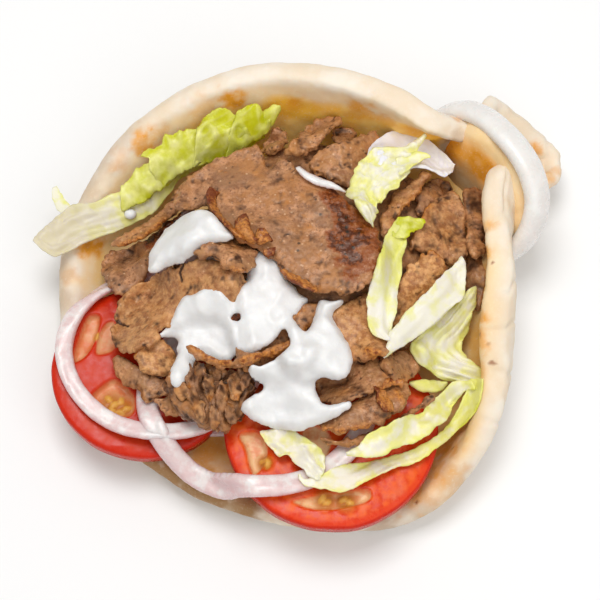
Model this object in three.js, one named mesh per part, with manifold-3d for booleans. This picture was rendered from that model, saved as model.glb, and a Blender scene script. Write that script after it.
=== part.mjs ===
// A doner kebab in a round flat bread. The bread is folded into an open cone, laid down
// with its mouth up and gathered at one end, where a raw onion ring holds it shut.
// Millimetres, +Z up, X along the length of the sandwich.
import * as THREE from "three";
import Module from "manifold-3d";

const wasm = await Module();
wasm.setup();
const { Manifold, Mesh: Solid } = wasm;

// ---------------------------------------------------------------- driving dimensions
const BREAD_THICKNESS = 8.4;       // soft flat bread
const NECK_THICKNESS = 6.4;       // the same bread, squeezed by the onion ring
const NECK_ANGLE = 30;            // direction of the gathered end, degrees from +X
const NECK_START = -3;            // where its line crosses the X axis
const NECK_LIFT = 8.6;            // height of the gathered end above the table
const NECK_LIFT_FROM = 30;        // distance from the middle where it starts to lift
const NECK_LIFT_TO = 74;          // and where it is fully lifted
const THINS_FROM = 50;            // distance from the middle where the bread starts to thin
const THINS_OVER = 25;
const BREAD_AROUND = 54;          // divisions round the bread
const FLOOR_RINGS = [0.4, 0.66, 0.86, 1];
const WALL_RINGS = 5;
const RIM_ACROSS = 0.55;          // the rounded rim, in halves of the thickness
const RIM_BEYOND = 0.72;
const FOOT_SWEEP = 0.46;          // how far the wall's curve follows the floor and the rim,
const RIM_SWEEP = 0.36;           // as shares of the wall's width

const TOMATO_THICKNESS = 7;
const MEAT_THICKNESS = 4.2;
const LEAF_THICKNESS = 1.3;
const SAUCE_THICKNESS = 3.2;
const ONION_BAND = 5;             // width of an onion ring's band
const ONION_HEIGHT = 3.2;
const NECK_RING_RADIUS = 29.4;    // outside radius of the ring on the neck
const NECK_RING_THICKNESS = 4;
const NECK_RING_WIDTH = 7.6;
const NECK_RING_HEIGHT = 26.2;    // its middle above the table
const NECK_RING_LEAN = 35;        // its top leans towards the tip, degrees
const NECK_BITE = 1.4;            // how deep the ring sinks into the bread
const NECK_FLARE = 0.18;          // how fast the bread opens out again beside the ring, per mm
const NECK_SQUEEZE_REACH = 30;    // and how far along the neck the squeeze is felt

const GAP = 0.3;                  // clearance between touching pieces
const CELL = 0.5;                 // cell of the height field the filling is laid on
const HALF_PLAN = 112;            // half the side of that height field

const COLOURS = {
  bread: 0xefdfc2, meat: 0x94694d, tomato: 0xd8452b, onion: 0xeadfe2,
  lettuce: 0xcfd675, leaf_pale: 0xe6e8cf, sauce: 0xf6f5f1,
};

// ---------------------------------------------------------------- small helpers
const rad = (degrees) => degrees * Math.PI / 180;
const lerp = (a, b, t) => a + (b - a) * t;
const clamp01 = (t) => Math.min(1, Math.max(0, t));
const smooth = (t) => clamp01(t) ** 2 * (3 - 2 * clamp01(t));

// A repeatable stream of numbers between 0 and 1.
function stream(seed) {
  let s = seed >>> 0;
  return () => {
    s = (s + 0x6d2b79f5) >>> 0;
    let t = s;
    t = Math.imul(t ^ (t >>> 15), t | 1);
    t ^= t + Math.imul(t ^ (t >>> 7), t | 61);
    return ((t ^ (t >>> 14)) >>> 0) / 4294967296;
  };
}

// Catmull-Rom value at u (0..1) through a list of equal-length rows.
function through(rows, u, closed) {
  const n = rows.length;
  const span = closed ? n : n - 1;
  const x = closed ? ((u % 1) + 1) % 1 * span : Math.min(u, 0.999999) * span;
  const i = Math.floor(x);
  const f = x - i;
  const pick = (k) => rows[closed ? (k + n) % n : Math.min(n - 1, Math.max(0, k))];
  const [a, b, c, d] = [pick(i - 1), pick(i), pick(i + 1), pick(i + 2)];
  return b.map((_, k) => 0.5 * (2 * b[k] + (c[k] - a[k]) * f
    + (2 * a[k] - 5 * b[k] + 4 * c[k] - d[k]) * f * f
    + (3 * b[k] - a[k] - 3 * c[k] + d[k]) * f * f * f));
}

// The same, spaced evenly by the distance the first three values travel.
function evenly(rows, count, closed) {
  const fine = rows.length * 24;
  const samples = [];
  for (let i = 0; i <= fine; i += 1) samples.push(through(rows, i / fine, closed && i < fine));
  if (closed) samples[fine] = samples[0];
  const run = [0];
  for (let i = 1; i <= fine; i += 1) {
    const [p, q] = [samples[i - 1], samples[i]];
    run.push(run[i - 1] + Math.hypot(...[0, 1, 2].map((k) => (q[k] ?? 0) - (p[k] ?? 0))));
  }
  const total = run[fine];
  const out = [];
  let j = 0;
  for (let i = 0; i < count; i += 1) {
    const want = total * (closed ? i / count : i / (count - 1));
    while (j < fine - 1 && run[j + 1] < want) j += 1;
    const f = clamp01((want - run[j]) / (run[j + 1] - run[j] || 1));
    out.push(samples[j].map((v, k) => lerp(v, samples[j + 1][k], f)));
  }
  return out;
}

const group = new THREE.Group();
group.name = "doner_kebab_sandwich";

function addNode(name, colour, points, triangles) {
  const geometry = new THREE.BufferGeometry();
  geometry.setAttribute("position", new THREE.Float32BufferAttribute(points.flat(), 3));
  geometry.setIndex(triangles.flat());
  geometry.computeVertexNormals();
  const material = new THREE.MeshStandardMaterial({ color: colour, roughness: 0.7 });
  material.name = name;
  const mesh = new THREE.Mesh(geometry, material);
  mesh.name = name;
  group.add(mesh);
  layDown(points, triangles);
}

// ---------------------------------------------------------------- height field
// The highest surface laid so far over each cell of the plan. A new piece is laid on it,
// so that no piece enters another.
const SIDE = Math.round(2 * HALF_PLAN / CELL);
const laid = new Float32Array(SIDE * SIDE);
let clear = new Float32Array(SIDE * SIDE);

function cellsUnder(p, q, r, visit) {
  const area = (q[0] - p[0]) * (r[1] - p[1]) - (r[0] - p[0]) * (q[1] - p[1]);
  if (Math.abs(area) < 1e-9) return;
  const low = (k) => Math.max(0, Math.ceil((Math.min(p[k], q[k], r[k]) + HALF_PLAN) / CELL));
  const high = (k) => Math.min(SIDE - 1, Math.floor((Math.max(p[k], q[k], r[k]) + HALF_PLAN) / CELL));
  for (let j = low(1); j <= high(1); j += 1) {
    const y = j * CELL - HALF_PLAN;
    for (let i = low(0); i <= high(0); i += 1) {
      const x = i * CELL - HALF_PLAN;
      const b = ((x - p[0]) * (r[1] - p[1]) - (r[0] - p[0]) * (y - p[1])) / area;
      const c = ((q[0] - p[0]) * (y - p[1]) - (x - p[0]) * (q[1] - p[1])) / area;
      if (b >= -1e-6 && c >= -1e-6 && b + c <= 1 + 1e-6) visit(j * SIDE + i, 1 - b - c, b, c);
    }
  }
}

function layDown(points, triangles) {
  for (const [a, b, c] of triangles) {
    const [p, q, r] = [points[a], points[b], points[c]];
    cellsUnder(p, q, r, (cell, u, v, w) => {
      laid[cell] = Math.max(laid[cell], u * p[2] + v * q[2] + w * r[2]);
    });
  }
  // one cell of margin all round
  const rows = laid.slice();
  for (let k = 1; k < rows.length - 1; k += 1) rows[k] = Math.max(laid[k - 1], laid[k], laid[k + 1]);
  clear = rows.slice();
  for (let k = SIDE; k < rows.length - SIDE; k += 1) {
    clear[k] = Math.max(rows[k - SIDE], rows[k], rows[k + SIDE]);
  }
}

function heightAt(x, y) {
  const i = Math.round((x + HALF_PLAN) / CELL);
  const j = Math.round((y + HALF_PLAN) / CELL);
  return i < 0 || j < 0 || i >= SIDE || j >= SIDE ? 0 : clear[j * SIDE + i];
}

// ---------------------------------------------------------------- bread
// Rows run round the bread: rim x, y, z, then foot of the wall x, y, then how far the
// wall leans out at the rim, in degrees, all on the middle of the bread's thickness.
const neck = (a, b) => [
  NECK_START + a * Math.cos(rad(NECK_ANGLE)) - b * Math.sin(rad(NECK_ANGLE)),
  a * Math.sin(rad(NECK_ANGLE)) + b * Math.cos(rad(NECK_ANGLE)),
];
const alongNeck = (x, y) => (x - NECK_START) * Math.cos(rad(NECK_ANGLE)) + y * Math.sin(rad(NECK_ANGLE));
const neckRow = ([a, b, z, footA, footB, lean]) => [...neck(a, b), z, ...neck(footA, footB), lean];

// Where the onion ring sits: its middle, its axis and two directions across that.
const RING_AXIS = new THREE.Vector3(
  Math.cos(rad(NECK_ANGLE)) * Math.cos(rad(NECK_RING_LEAN)),
  Math.sin(rad(NECK_ANGLE)) * Math.cos(rad(NECK_RING_LEAN)),
  -Math.sin(rad(NECK_RING_LEAN)),
);
const RING_MIDDLE = new THREE.Vector3(...neck(79.5, 4), NECK_RING_HEIGHT);
const RING_ACROSS = new THREE.Vector3(-Math.sin(rad(NECK_ANGLE)), Math.cos(rad(NECK_ANGLE)), 0);
const RING_UP = RING_AXIS.clone().cross(RING_ACROSS);

// The bread is drawn in where it passes through the ring.
function drawnIn(p) {
  const from = p.clone().sub(RING_MIDDLE);
  const along = from.dot(RING_AXIS);
  const spoke = from.clone().addScaledVector(RING_AXIS, -along);
  const room = NECK_RING_RADIUS - NECK_RING_THICKNESS - NECK_THICKNESS / 2 + NECK_BITE;
  const most = room + NECK_FLARE * Math.max(0, Math.abs(along) - NECK_RING_WIDTH / 2 - 1) ** 2;
  const free = 0.8 * most;
  const reach = spoke.length();
  if (reach <= free || Math.abs(along) > NECK_SQUEEZE_REACH) return p;
  const kept = free + (most - free) * (1 - Math.exp((free - reach) / (most - free)));
  return RING_MIDDLE.clone().addScaledVector(RING_AXIS, along).addScaledVector(spoke, kept / reach);
}

const BREAD_ROWS = [
  [-2, -74, 8, 0, -50, 60],
  [17.5, -75.5, 8, 13, -51, 60],
  [36, -73.5, 11, 27, -48, 55],
  [49.5, -65, 15, 38, -43, 45],
  [61, -51, 21, 48, -36, 26],
  [66.5, -35, 29, 57, -26, -5],
  [67, -15, 35, 63, -12, -28],
  [70, 6, 38, 67, 3, -32],
  neckRow([71, -20.5, 40, 68, -21, -34]),
  neckRow([77, -7.5, 41, 74, -14, -42]),
  neckRow([84, 0, 41, 82, -11, -48]),
  neckRow([91, -1, 34, 90, -8, -20]),
  neckRow([99, -5.5, 21, 96, -4, 20]),
  neckRow([112, -2.5, 16, 102, 0, 55]),
  neckRow([109.5, 6, 18, 103, 6, 60]),
  neckRow([105, 17, 24, 99, 12, 40]),
  neckRow([99, 26, 31, 95, 17, 25]),
  neckRow([92.5, 22, 39, 90, 20, -15]),
  neckRow([86.5, 18.5, 44, 84, 22, -38]),
  neckRow([79, 20, 46, 77, 26, -30]),
  neckRow([71, 27.5, 47, 67, 31, -4]),
  [35, 66, 47, 24, 46, 22],
  [14, 74, 46, 8, 48, 30],
  [-12, 77.5, 43, -8, 48, 38],
  [-37, 71.5, 39, -24, 44, 42],
  [-57, 59.5, 33, -38, 36, 45],
  [-71.5, 42.5, 26, -48, 24, 48],
  [-81, 20, 18, -54, 11, 52],
  [-81, -6, 12.5, -55, -5, 60],
  [-73.5, -32, 10.5, -50, -22, 62],
  [-49.5, -54.5, 11, -36, -38, 60],
  [-26.5, -67.5, 9, -18, -47, 60],
];

function breadBody() {
  const rows = evenly(BREAD_ROWS, BREAD_AROUND, true);
  const lift = (x, y) => NECK_LIFT
    * smooth((alongNeck(x, y) - NECK_LIFT_FROM) / (NECK_LIFT_TO - NECK_LIFT_FROM));
  const floorPoint = (x, y) => new THREE.Vector3(x, y, BREAD_THICKNESS / 2 + lift(x, y));
  const rings = [];
  for (const part of FLOOR_RINGS) rings.push(rows.map((r) => floorPoint(r[3] * part, r[4] * part)));
  for (let k = 1; k <= WALL_RINGS; k += 1) {
    const t = k / WALL_RINGS;
    rings.push(rows.map((r, i) => {
      const before = rows[(i + BREAD_AROUND - 1) % BREAD_AROUND];
      const after = rows[(i + 1) % BREAD_AROUND];
      const out = new THREE.Vector3(after[4] - before[4], before[3] - after[3], 0).normalize();
      const foot = floorPoint(r[3], r[4]);
      const rim = new THREE.Vector3(r[0], r[1], r[2]);
      const reach = foot.distanceTo(rim);
      const rise = out.clone().multiplyScalar(Math.sin(rad(r[5])));
      rise.z = Math.cos(rad(r[5]));
      const c1 = foot.clone().addScaledVector(out, reach * FOOT_SWEEP);
      const c2 = rim.clone().addScaledVector(rise, -reach * RIM_SWEEP);
      return drawnIn(new THREE.CubicBezierCurve3(foot, c1, c2, rim).getPoint(t));
    }));
  }
  // middle surface, its normals, then both faces and a rounded rim
  const middle = [floorPoint(0, 0), ...rings.flat()];
  const at = (ring, i) => 1 + ring * BREAD_AROUND + (i + BREAD_AROUND) % BREAD_AROUND;
  const last = rings.length - 1;
  const faces = [];
  for (let i = 0; i < BREAD_AROUND; i += 1) {
    faces.push([0, at(0, i), at(0, i + 1)]);
    for (let k = 0; k < last; k += 1) {
      faces.push([at(k, i), at(k + 1, i), at(k + 1, i + 1)]);
      faces.push([at(k, i), at(k + 1, i + 1), at(k, i + 1)]);
    }
  }
  const surface = new THREE.BufferGeometry().setFromPoints(middle);
  surface.setIndex(faces.flat());
  surface.computeVertexNormals();
  const normals = surface.getAttribute("normal");
  const normal = (v) => new THREE.Vector3().fromBufferAttribute(normals, v);
  const half = (p) => lerp(BREAD_THICKNESS, NECK_THICKNESS,
    smooth((alongNeck(p.x, p.y) - THINS_FROM) / THINS_OVER)) / 2;
  const points = [];
  for (const side of [1, -1]) {
    middle.forEach((p, v) => {
      const flat = v <= BREAD_AROUND * FLOOR_RINGS.length && p.z < BREAD_THICKNESS / 2 + 1e-6;
      const n = flat ? new THREE.Vector3(0, 0, 1) : normal(v);
      const q = p.clone().addScaledVector(n, side * half(p));
      points.push([q.x, q.y, Math.max(0, q.z)]);
    });
  }
  const under = middle.length;
  const triangles = [];
  for (const [a, b, c] of faces) {
    triangles.push([a, b, c]);
    triangles.push([under + a, under + c, under + b]);
  }
  // the rounded rim: one raised row between the two faces
  const ridge = points.length;
  for (let i = 0; i < BREAD_AROUND; i += 1) {
    const v = at(last, i);
    const back = middle[at(last - 1, i)];
    const n = normal(v);
    const out = middle[v].clone().sub(back);
    out.addScaledVector(n, -out.dot(n)).normalize();
    for (const across of [RIM_ACROSS, -RIM_ACROSS]) {
      const h = half(middle[v]);
      const q = middle[v].clone().addScaledVector(n, across * h).addScaledVector(out, RIM_BEYOND * h);
      points.push([q.x, q.y, q.z]);
    }
  }
  for (let i = 0; i < BREAD_AROUND; i += 1) {
    const j = (i + 1) % BREAD_AROUND;
    const top = [at(last, i), ridge + 2 * i, ridge + 2 * i + 1, under + at(last, i)];
    const next = [at(last, j), ridge + 2 * j, ridge + 2 * j + 1, under + at(last, j)];
    for (let k = 0; k < 3; k += 1) {
      triangles.push([top[k], top[k + 1], next[k + 1]]);
      triangles.push([top[k], next[k + 1], next[k]]);
    }
  }
  return [points, triangles];
}

// ---------------------------------------------------------------- the ring on the neck
function neckRing(grown) {
  const around = 34;
  const [depth, width] = [NECK_RING_THICKNESS / 2 + grown, NECK_RING_WIDTH / 2 + grown];
  const section = [[-1, -0.6], [-0.5, -1], [0.5, -1], [1, -0.6], [1, 0.5], [0, 1], [-1, 0.5]];
  const points = [];
  for (let i = 0; i < around; i += 1) {
    const t = 2 * Math.PI * i / around;
    for (const [u, v] of section) {
      const out = NECK_RING_RADIUS - NECK_RING_THICKNESS / 2 + v * depth;
      const p = RING_MIDDLE.clone().addScaledVector(RING_AXIS, u * width)
        .addScaledVector(RING_ACROSS, out * Math.cos(t)).addScaledVector(RING_UP, out * Math.sin(t));
      points.push([p.x, p.y, p.z]);
    }
  }
  const triangles = [];
  const n = section.length;
  for (let i = 0; i < around; i += 1) {
    const j = (i + 1) % around;
    for (let k = 0; k < n; k += 1) {
      const m = (k + 1) % n;
      triangles.push([i * n + k, i * n + m, j * n + m]);
      triangles.push([i * n + k, j * n + m, j * n + k]);
    }
  }
  return [points, triangles];
}

const solid = ([points, triangles]) => new Manifold(new Solid({
  numProp: 3,
  vertProperties: new Float32Array(points.flat()),
  triVerts: new Uint32Array(triangles.flat()),
}));

function listsOf(body) {
  const mesh = body.getMesh();
  const threes = (flat, count) => Array.from({ length: count }, (_, i) => [...flat.slice(3 * i, 3 * i + 3)]);
  return [threes(mesh.vertProperties, mesh.numVert), threes(mesh.triVerts, mesh.numTri)];
}

// The ring bites a shallow groove into the soft bread.
const grooved = solid(breadBody()).subtract(solid(neckRing(GAP)));
addNode("bread", COLOURS.bread, ...listsOf(grooved));
addNode("onion_ring_neck", COLOURS.onion, ...neckRing(0));

// ---------------------------------------------------------------- laying a piece
// A piece is drawn in plan as points and triangles, draped over what lies below it, and
// given its thickness upwards. `rim` lists the closed border loops, `inside` is 0 on the
// border and 1 away from it.
function settle(name, colour, plan, how) {
  const { at, faces, rims, inside } = plan;
  const below = at.map(([x, y]) => heightAt(x, y));
  const held = below.map((z) => (z > 1 ? 1 : 0));   // 0 where the piece hangs over the rim
  const count = held.reduce((a, b) => a + b);
  const middle = [0, 1].map((k) => at.reduce((sum, p, i) => sum + p[k] * held[i], 0) / count);

  // the slope it lies at: its own, or the plane nearest to what is below
  const z0 = below.reduce((sum, z, i) => sum + z * held[i], 0) / count;
  let [xx, xy, yy, xz, yz] = [1e-6, 0, 1e-6, 0, 0];
  at.forEach(([px, py], i) => {
    if (!held[i]) return;
    const [x, y] = [px - middle[0], py - middle[1]];
    xx += x * x;
    xy += x * y;
    yy += y * y;
    xz += x * (below[i] - z0);
    yz += y * (below[i] - z0);
  });
  const det = xx * yy - xy * xy;
  const limit = how.steepest ?? 0.5;
  const ease = (g) => limit * Math.tanh(g / limit);
  const slopeX = how.slope ? how.slope[0] : ease((xz * yy - yz * xy) / det);
  const slopeY = how.slope ? how.slope[1] : ease((yz * xx - xz * xy) / det);
  const plane = ([x, y]) => z0 + slopeX * (x - middle[0]) + slopeY * (y - middle[1]);

  // what is left over that slope is smoothed by the stiffness of the piece
  const beside = at.map(() => new Set());
  for (const face of faces) for (const a of face) for (const b of face) if (a !== b) beside[a].add(b);
  let rest = at.map((p, i) => held[i] * (below[i] - plane(p)) * (how.soft ?? 1));
  for (let k = 0; k < (how.stiff ?? 6); k += 1) {
    rest = rest.map((v, i) => {
      let sum = 0;
      for (const j of beside[i]) sum += rest[j];
      return lerp(v, sum / beside[i].size, 0.6);
    });
  }
  const under = at.map((p, i) => plane(p) + rest[i] + (how.waves ? how.waves(p, inside[i], i) : 0));

  // every cell below a triangle has to stay clear of it
  const cells = [];
  for (const [a, b, c] of faces) {
    cellsUnder(at[a], at[b], at[c], (cell, u, v, w) => cells.push([cell, a, b, c, u, v, w]));
  }
  const short = ([cell, a, b, c, u, v, w]) => clear[cell] + GAP
    - (u * under[a] + v * under[b] + w * under[c]);
  const worst = Math.max(...cells.map(short));
  const raise = worst > 0 ? worst * (how.rigid ?? 0.35) : worst;
  for (let i = 0; i < under.length; i += 1) under[i] += raise;
  for (let pass = 0; pass < 40; pass += 1) {
    const lift = new Float32Array(at.length);
    let most = 0;
    for (const cell of cells) {
      const s = short(cell);
      if (s <= 1e-4) continue;
      most = Math.max(most, s);
      const [, a, b, c, u, v, w] = cell;
      const share = s / (u * u + v * v + w * w);
      [[a, u], [b, v], [c, w]].forEach(([i, part]) => {
        lift[i] = Math.max(lift[i], pass > 30 ? s : share * part);
      });
    }
    if (most === 0) break;
    for (let i = 0; i < under.length; i += 1) under[i] += lift[i];
  }

  // the top face, evened out where the piece is thick or runny
  const least = (i) => under[i] + (how.least ?? 0.5);
  let over = at.map((p, i) => Math.max(least(i), under[i] + how.thick(inside[i], p, under[i])));
  for (let k = 0; k < (how.level ?? 0); k += 1) {
    over = over.map((v, i) => {
      let sum = 0;
      for (const j of beside[i]) sum += over[j];
      return Math.max(least(i), lerp(v, sum / beside[i].size, 0.5));
    });
  }

  const n = at.length;
  const points = at.map(([x, y], i) => [x, y, under[i]]);
  at.forEach(([x, y], i) => points.push([x, y, over[i]]));
  const triangles = [];
  for (const [a, b, c] of faces) {
    triangles.push([a, c, b]);
    triangles.push([n + a, n + b, n + c]);
  }
  for (const rim of rims) {
    rim.forEach((a, k) => {
      const b = rim[(k + 1) % rim.length];
      triangles.push([a, b, n + b]);
      triangles.push([a, n + b, n + a]);
    });
  }
  addNode(name, colour, points, triangles);
}

// Plan of a rounded or ragged piece: `reach` gives its outline at even angles, anticlockwise
// from +X, and `rings` how far out each ring of points lies.
function blobPlan({ x, y, reach, around = 20, rings = [0.5, 0.82, 1], ragged = 0.5, seed = 1 }) {
  const noise = stream(seed);
  const edge = [];
  for (let i = 0; i < around; i += 1) {
    const [r] = through(reach.map((v) => [v]), i / around, true);
    edge.push(Math.max(1.2, r + ragged * (noise() + noise() - 1)));
  }
  const at = [[x, y]];
  const inside = [1];
  for (const part of rings) {
    edge.forEach((r, i) => {
      const t = 2 * Math.PI * i / around;
      at.push([x + r * part * Math.cos(t), y + r * part * Math.sin(t)]);
      inside.push(part === 1 ? 0 : clamp01((1 - part) * r / 4));
    });
  }
  const id = (ring, i) => 1 + ring * around + i % around;
  const faces = [];
  for (let i = 0; i < around; i += 1) {
    faces.push([0, id(0, i), id(0, i + 1)]);
    for (let k = 0; k + 1 < rings.length; k += 1) {
      faces.push([id(k, i), id(k + 1, i), id(k + 1, i + 1)]);
      faces.push([id(k, i), id(k + 1, i + 1), id(k, i + 1)]);
    }
  }
  const rim = edge.map((_, i) => id(rings.length - 1, i));
  return { at, faces, rims: [rim], inside };
}

// Plan of a strip: points along its middle, with its width at each.
function stripPlan({ path, along = 12, across = 3, ragged = 0.5, seed = 1 }) {
  const noise = stream(seed);
  const rows = evenly(path.map(([x, y, w]) => [x, y, 0, w]), along + 1, false);
  const at = [];
  const inside = [];
  rows.forEach((row, i) => {
    const before = rows[Math.max(0, i - 1)];
    const after = rows[Math.min(along, i + 1)];
    const length = Math.hypot(after[0] - before[0], after[1] - before[1]);
    const [nx, ny] = [-(after[1] - before[1]) / length, (after[0] - before[0]) / length];
    for (let k = 0; k <= across; k += 1) {
      const border = k === 0 || k === across;
      const off = row[3] * (k / across - 0.5) + (border ? ragged * (noise() - 0.5) * 2 : 0);
      at.push([row[0] + nx * off, row[1] + ny * off]);
      inside.push(border || i === 0 || i === along ? 0 : 1);
    }
  });
  const id = (i, k) => i * (across + 1) + k;
  const faces = [];
  for (let i = 0; i < along; i += 1) {
    for (let k = 0; k < across; k += 1) {
      faces.push([id(i, k), id(i + 1, k), id(i + 1, k + 1)]);
      faces.push([id(i, k), id(i + 1, k + 1), id(i, k + 1)]);
    }
  }
  const rim = [];
  for (let i = 0; i < along; i += 1) rim.push(id(i, 0));
  for (let k = 0; k < across; k += 1) rim.push(id(along, k));
  for (let i = along; i > 0; i -= 1) rim.push(id(i, across));
  for (let k = across; k > 0; k -= 1) rim.push(id(0, k));
  return { at, faces, rims: [rim], inside };
}

// Plan of a flat ring.
function ringPlan({ x, y, reach, band, around = 36 }) {
  const at = [];
  for (let i = 0; i < around; i += 1) {
    const t = 2 * Math.PI * i / around;
    const [r] = through(reach.map((v) => [v]), i / around, true);
    for (const part of [-band, -band / 2, 0]) {
      at.push([x + (r + part) * Math.cos(t), y + (r + part) * Math.sin(t)]);
    }
  }
  const id = (i, k) => (i % around) * 3 + k;
  const faces = [];
  const [inner, outer] = [[], []];
  for (let i = 0; i < around; i += 1) {
    for (let k = 0; k < 2; k += 1) {
      faces.push([id(i, k), id(i, k + 1), id(i + 1, k + 1)]);
      faces.push([id(i, k), id(i + 1, k + 1), id(i + 1, k)]);
    }
    outer.push(id(i, 2));
    inner.unshift(id(i, 0));
  }
  return { at, faces, rims: [outer, inner], inside: at.map((_, i) => (i % 3 === 1 ? 1 : 0)) };
}

// ---------------------------------------------------------------- tomato and onion
const tomato = (name, x, y, radius, slope, seed) => settle(
  name,
  COLOURS.tomato,
  blobPlan({ x, y, reach: [1, 0.98, 1.02, 0.99].map((f) => f * radius), around: 32,
    rings: [0.55, 0.93, 1], ragged: 0.25, seed }),
  { slope, soft: 0, rigid: 1, thick: (inside) => TOMATO_THICKNESS * (0.86 + 0.14 * Math.min(1, inside * 3)) },
);
tomato("tomato_left", -53.5, -25.8, 31.5, [-0.11, -0.02], 11);
tomato("tomato_right", 11, -46.9, 36.2, [-0.02, -0.05], 12);

// ---------------------------------------------------------------- the middle of the filling
// Meat stacked out of sight, as one body under the slices that show. It is steeper in front.
const CORE = { x: 4, y: 12, reach: [48, 50, 46, 44, 40, 40, 48, 50, 43, 38, 43, 50] };
const CORE_TOP = 42;
const CORE_FALL = 10;

settle("meat_core", COLOURS.meat, blobPlan({ ...CORE, around: 24, ragged: 0.6, seed: 3 }), {
  soft: 1,
  stiff: 2,
  rigid: 0,
  thick: (inside, [x, y], under) => {
    const away = Math.hypot((x + 3) / 48, (y - 10) / (y > 10 ? 48 : 27));
    return Math.max(2.5, CORE_TOP - CORE_FALL * away ** 2.6 - under);
  },
});

const onionRing = (name, x, y, reach, how) => settle(
  name, COLOURS.onion, ringPlan({ x, y, reach, band: ONION_BAND, around: 30 }),
  { stiff: 16, rigid: 0.12, steepest: 0.3, thick: () => ONION_HEIGHT, ...how },
);
onionRing("onion_ring_left", -46.5, -20, [36, 33, 32, 35, 37, 34, 32, 33], {});
onionRing("onion_ring_front", -14.8, -36.5, [41, 37, 34, 37, 40, 36, 35, 38], {});

// ---------------------------------------------------------------- lettuce
// Ruffles run along a leaf and are strongest on its edge.
const ruffle = (height, length, turn, seed) => {
  const phase = stream(seed)() * 6.28;
  const [c, s] = [Math.cos(rad(turn)), Math.sin(rad(turn))];
  return ([x, y], inside) => height * (1.2 - 0.7 * inside)
    * (0.6 + 0.4 * Math.sin((x * c + y * s) / length * 6.28 + phase)
      + 0.35 * Math.sin((y * c - x * s) / length * 3.9 + 2 * phase));
};
const leaf = (name, plan, how, colour = COLOURS.lettuce) => settle(name, colour, plan, {
  stiff: 5, rigid: 0.15, thick: () => LEAF_THICKNESS, ...how,
});

leaf("lettuce_pale_front", blobPlan({ x: 0, y: -54, reach: [7, 5, 7, 12, 6, 4, 6, 12],
  around: 18, ragged: 0.6, seed: 21 }), { waves: ruffle(1.4, 9, 40, 5) });
leaf("lettuce_band", stripPlan({ path: [[63, -27, 4], [60, -39, 8], [51, -49, 9], [41, -55, 9],
  [29, -59, 8], [17, -62, 8], [7, -63, 8], [-1, -60, 5]], along: 18, ragged: 0.9, seed: 22 }),
{ waves: ruffle(1.5, 11, 0, 6) });

leaf("lettuce_long", stripPlan({ path: [[-92, 20, 6], [-82, 22, 10], [-69, 27, 13], [-59, 33, 15],
  [-49, 40, 17], [-35, 49, 18], [-23, 56, 16], [-13, 60, 12], [-7, 62, 5]], along: 18,
across: 4, ragged: 1.2, seed: 33 }), { waves: ruffle(1.6, 9, 30, 9) });
leaf("lettuce_spike", stripPlan({ path: [[-88, 42, 1.4], [-85, 36, 2.6], [-80, 30, 4]], along: 5,
  across: 2, ragged: 0.2, seed: 34 }), {});

// ---------------------------------------------------------------- meat
const slice = (name, x, y, reach, how = {}) => settle(
  name,
  COLOURS.meat,
  blobPlan({ x, y, reach, around: how.around ?? 20, ragged: how.ragged ?? 0.9,
    rings: how.rings ?? [0.5, 0.84, 1], seed: how.seed ?? Math.round(97 * Math.abs(x * 3 + y) + reach[0]) }),
  {
    stiff: how.stiff ?? 12,
    rigid: how.rigid ?? 0.3,
    steepest: how.steepest ?? 0.4,
    level: how.level ?? 2,
    least: 1.6,
    thick: (inside) => (how.thick ?? MEAT_THICKNESS) * (0.62 + 0.38 * Math.min(1, 1.5 * inside)),
  },
);
const bits = { around: 12, rings: [0.7, 1] };

slice("meat_low_left", -53, -30, [9, 5, 5, 14, 9, 6, 6, 11], { ...bits });
slice("meat_crumbly_low", -38, -42, [11, 6, 6, 9, 10, 6, 5, 9], { ...bits });
slice("meat_under_front", 25, -48, [12, 9, 5, 7, 12, 13, 6, 6], { ...bits });
slice("meat_edge_back", 14, 56, [9, 7, 5, 6, 9, 7, 6, 7], { ...bits });
slice("meat_knob_back", -9, 54, [5, 6, 5, 5, 6, 7, 7, 6], { ...bits });
slice("meat_right_wall", 58, 18, [5, 8, 19, 6, 5, 6, 19, 6], { ...bits, around: 18, steepest: 0.2 });
slice("meat_dark_right", 46, 36, [8, 9, 6, 6, 8, 9, 6, 6], { ...bits });
slice("meat_block_left", -48, -26, [9, 9, 8, 8, 10, 8, 8, 9], { ...bits });
slice("meat_crumbly", -28, -36, [12, 16, 12, 14, 16, 15, 15, 12], { around: 24, ragged: 1.5, thick: 7 });
slice("meat_front_low", 22, -44, [13, 15, 8, 8, 13, 13, 8, 9], {});
slice("meat_front", 17, -37, [12, 13, 6, 6, 14, 13, 9, 9], {});
slice("meat_left_outer", -61, 10, [9, 10, 9, 9, 10, 9, 9, 9], { around: 16 });
slice("meat_thin_edge", -52, 23, [8, 18, 7, 6, 8, 16, 8, 6], { around: 18, rings: [0.6, 1],
  steepest: 0.2, rigid: 0.8 });
slice("meat_back", 15, 44, [11, 14, 10, 10, 12, 12, 12, 10], {});
slice("meat_back_left", 5, 56, [6, 11, 5, 4, 5, 13, 5, 4], { ...bits, around: 18 });
slice("meat_right", 50, 15, [12, 10, 9, 10, 13, 9, 9, 10], {});
slice("meat_right_back", 51, 26, [8, 9, 8, 7, 9, 9, 8, 8], { around: 16 });
slice("meat_small_front", 34, -27, [9, 7, 7, 6, 8, 9, 7, 7], { ...bits });
slice("meat_centre_right", 39, -3, [8, 14, 12, 9, 9, 13, 11, 8], {});
slice("meat_middle", -8, -22, [14, 13, 12, 13, 15, 14, 13, 13], { around: 18 });
slice("meat_front_centre", 23, -16, [12, 13, 12, 11, 12, 12, 14, 12], {});
slice("meat_left", -42, -6, [22, 24, 18, 13, 13, 14, 18, 25, 19, 9, 9, 14], {
  around: 26, rings: [0.35, 0.68, 0.9, 1], ragged: 0.7,
});
slice("meat_knob", -25, 7, [10, 8, 7, 9, 11, 8, 8, 11], { around: 16, ragged: 1.2 });
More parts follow.
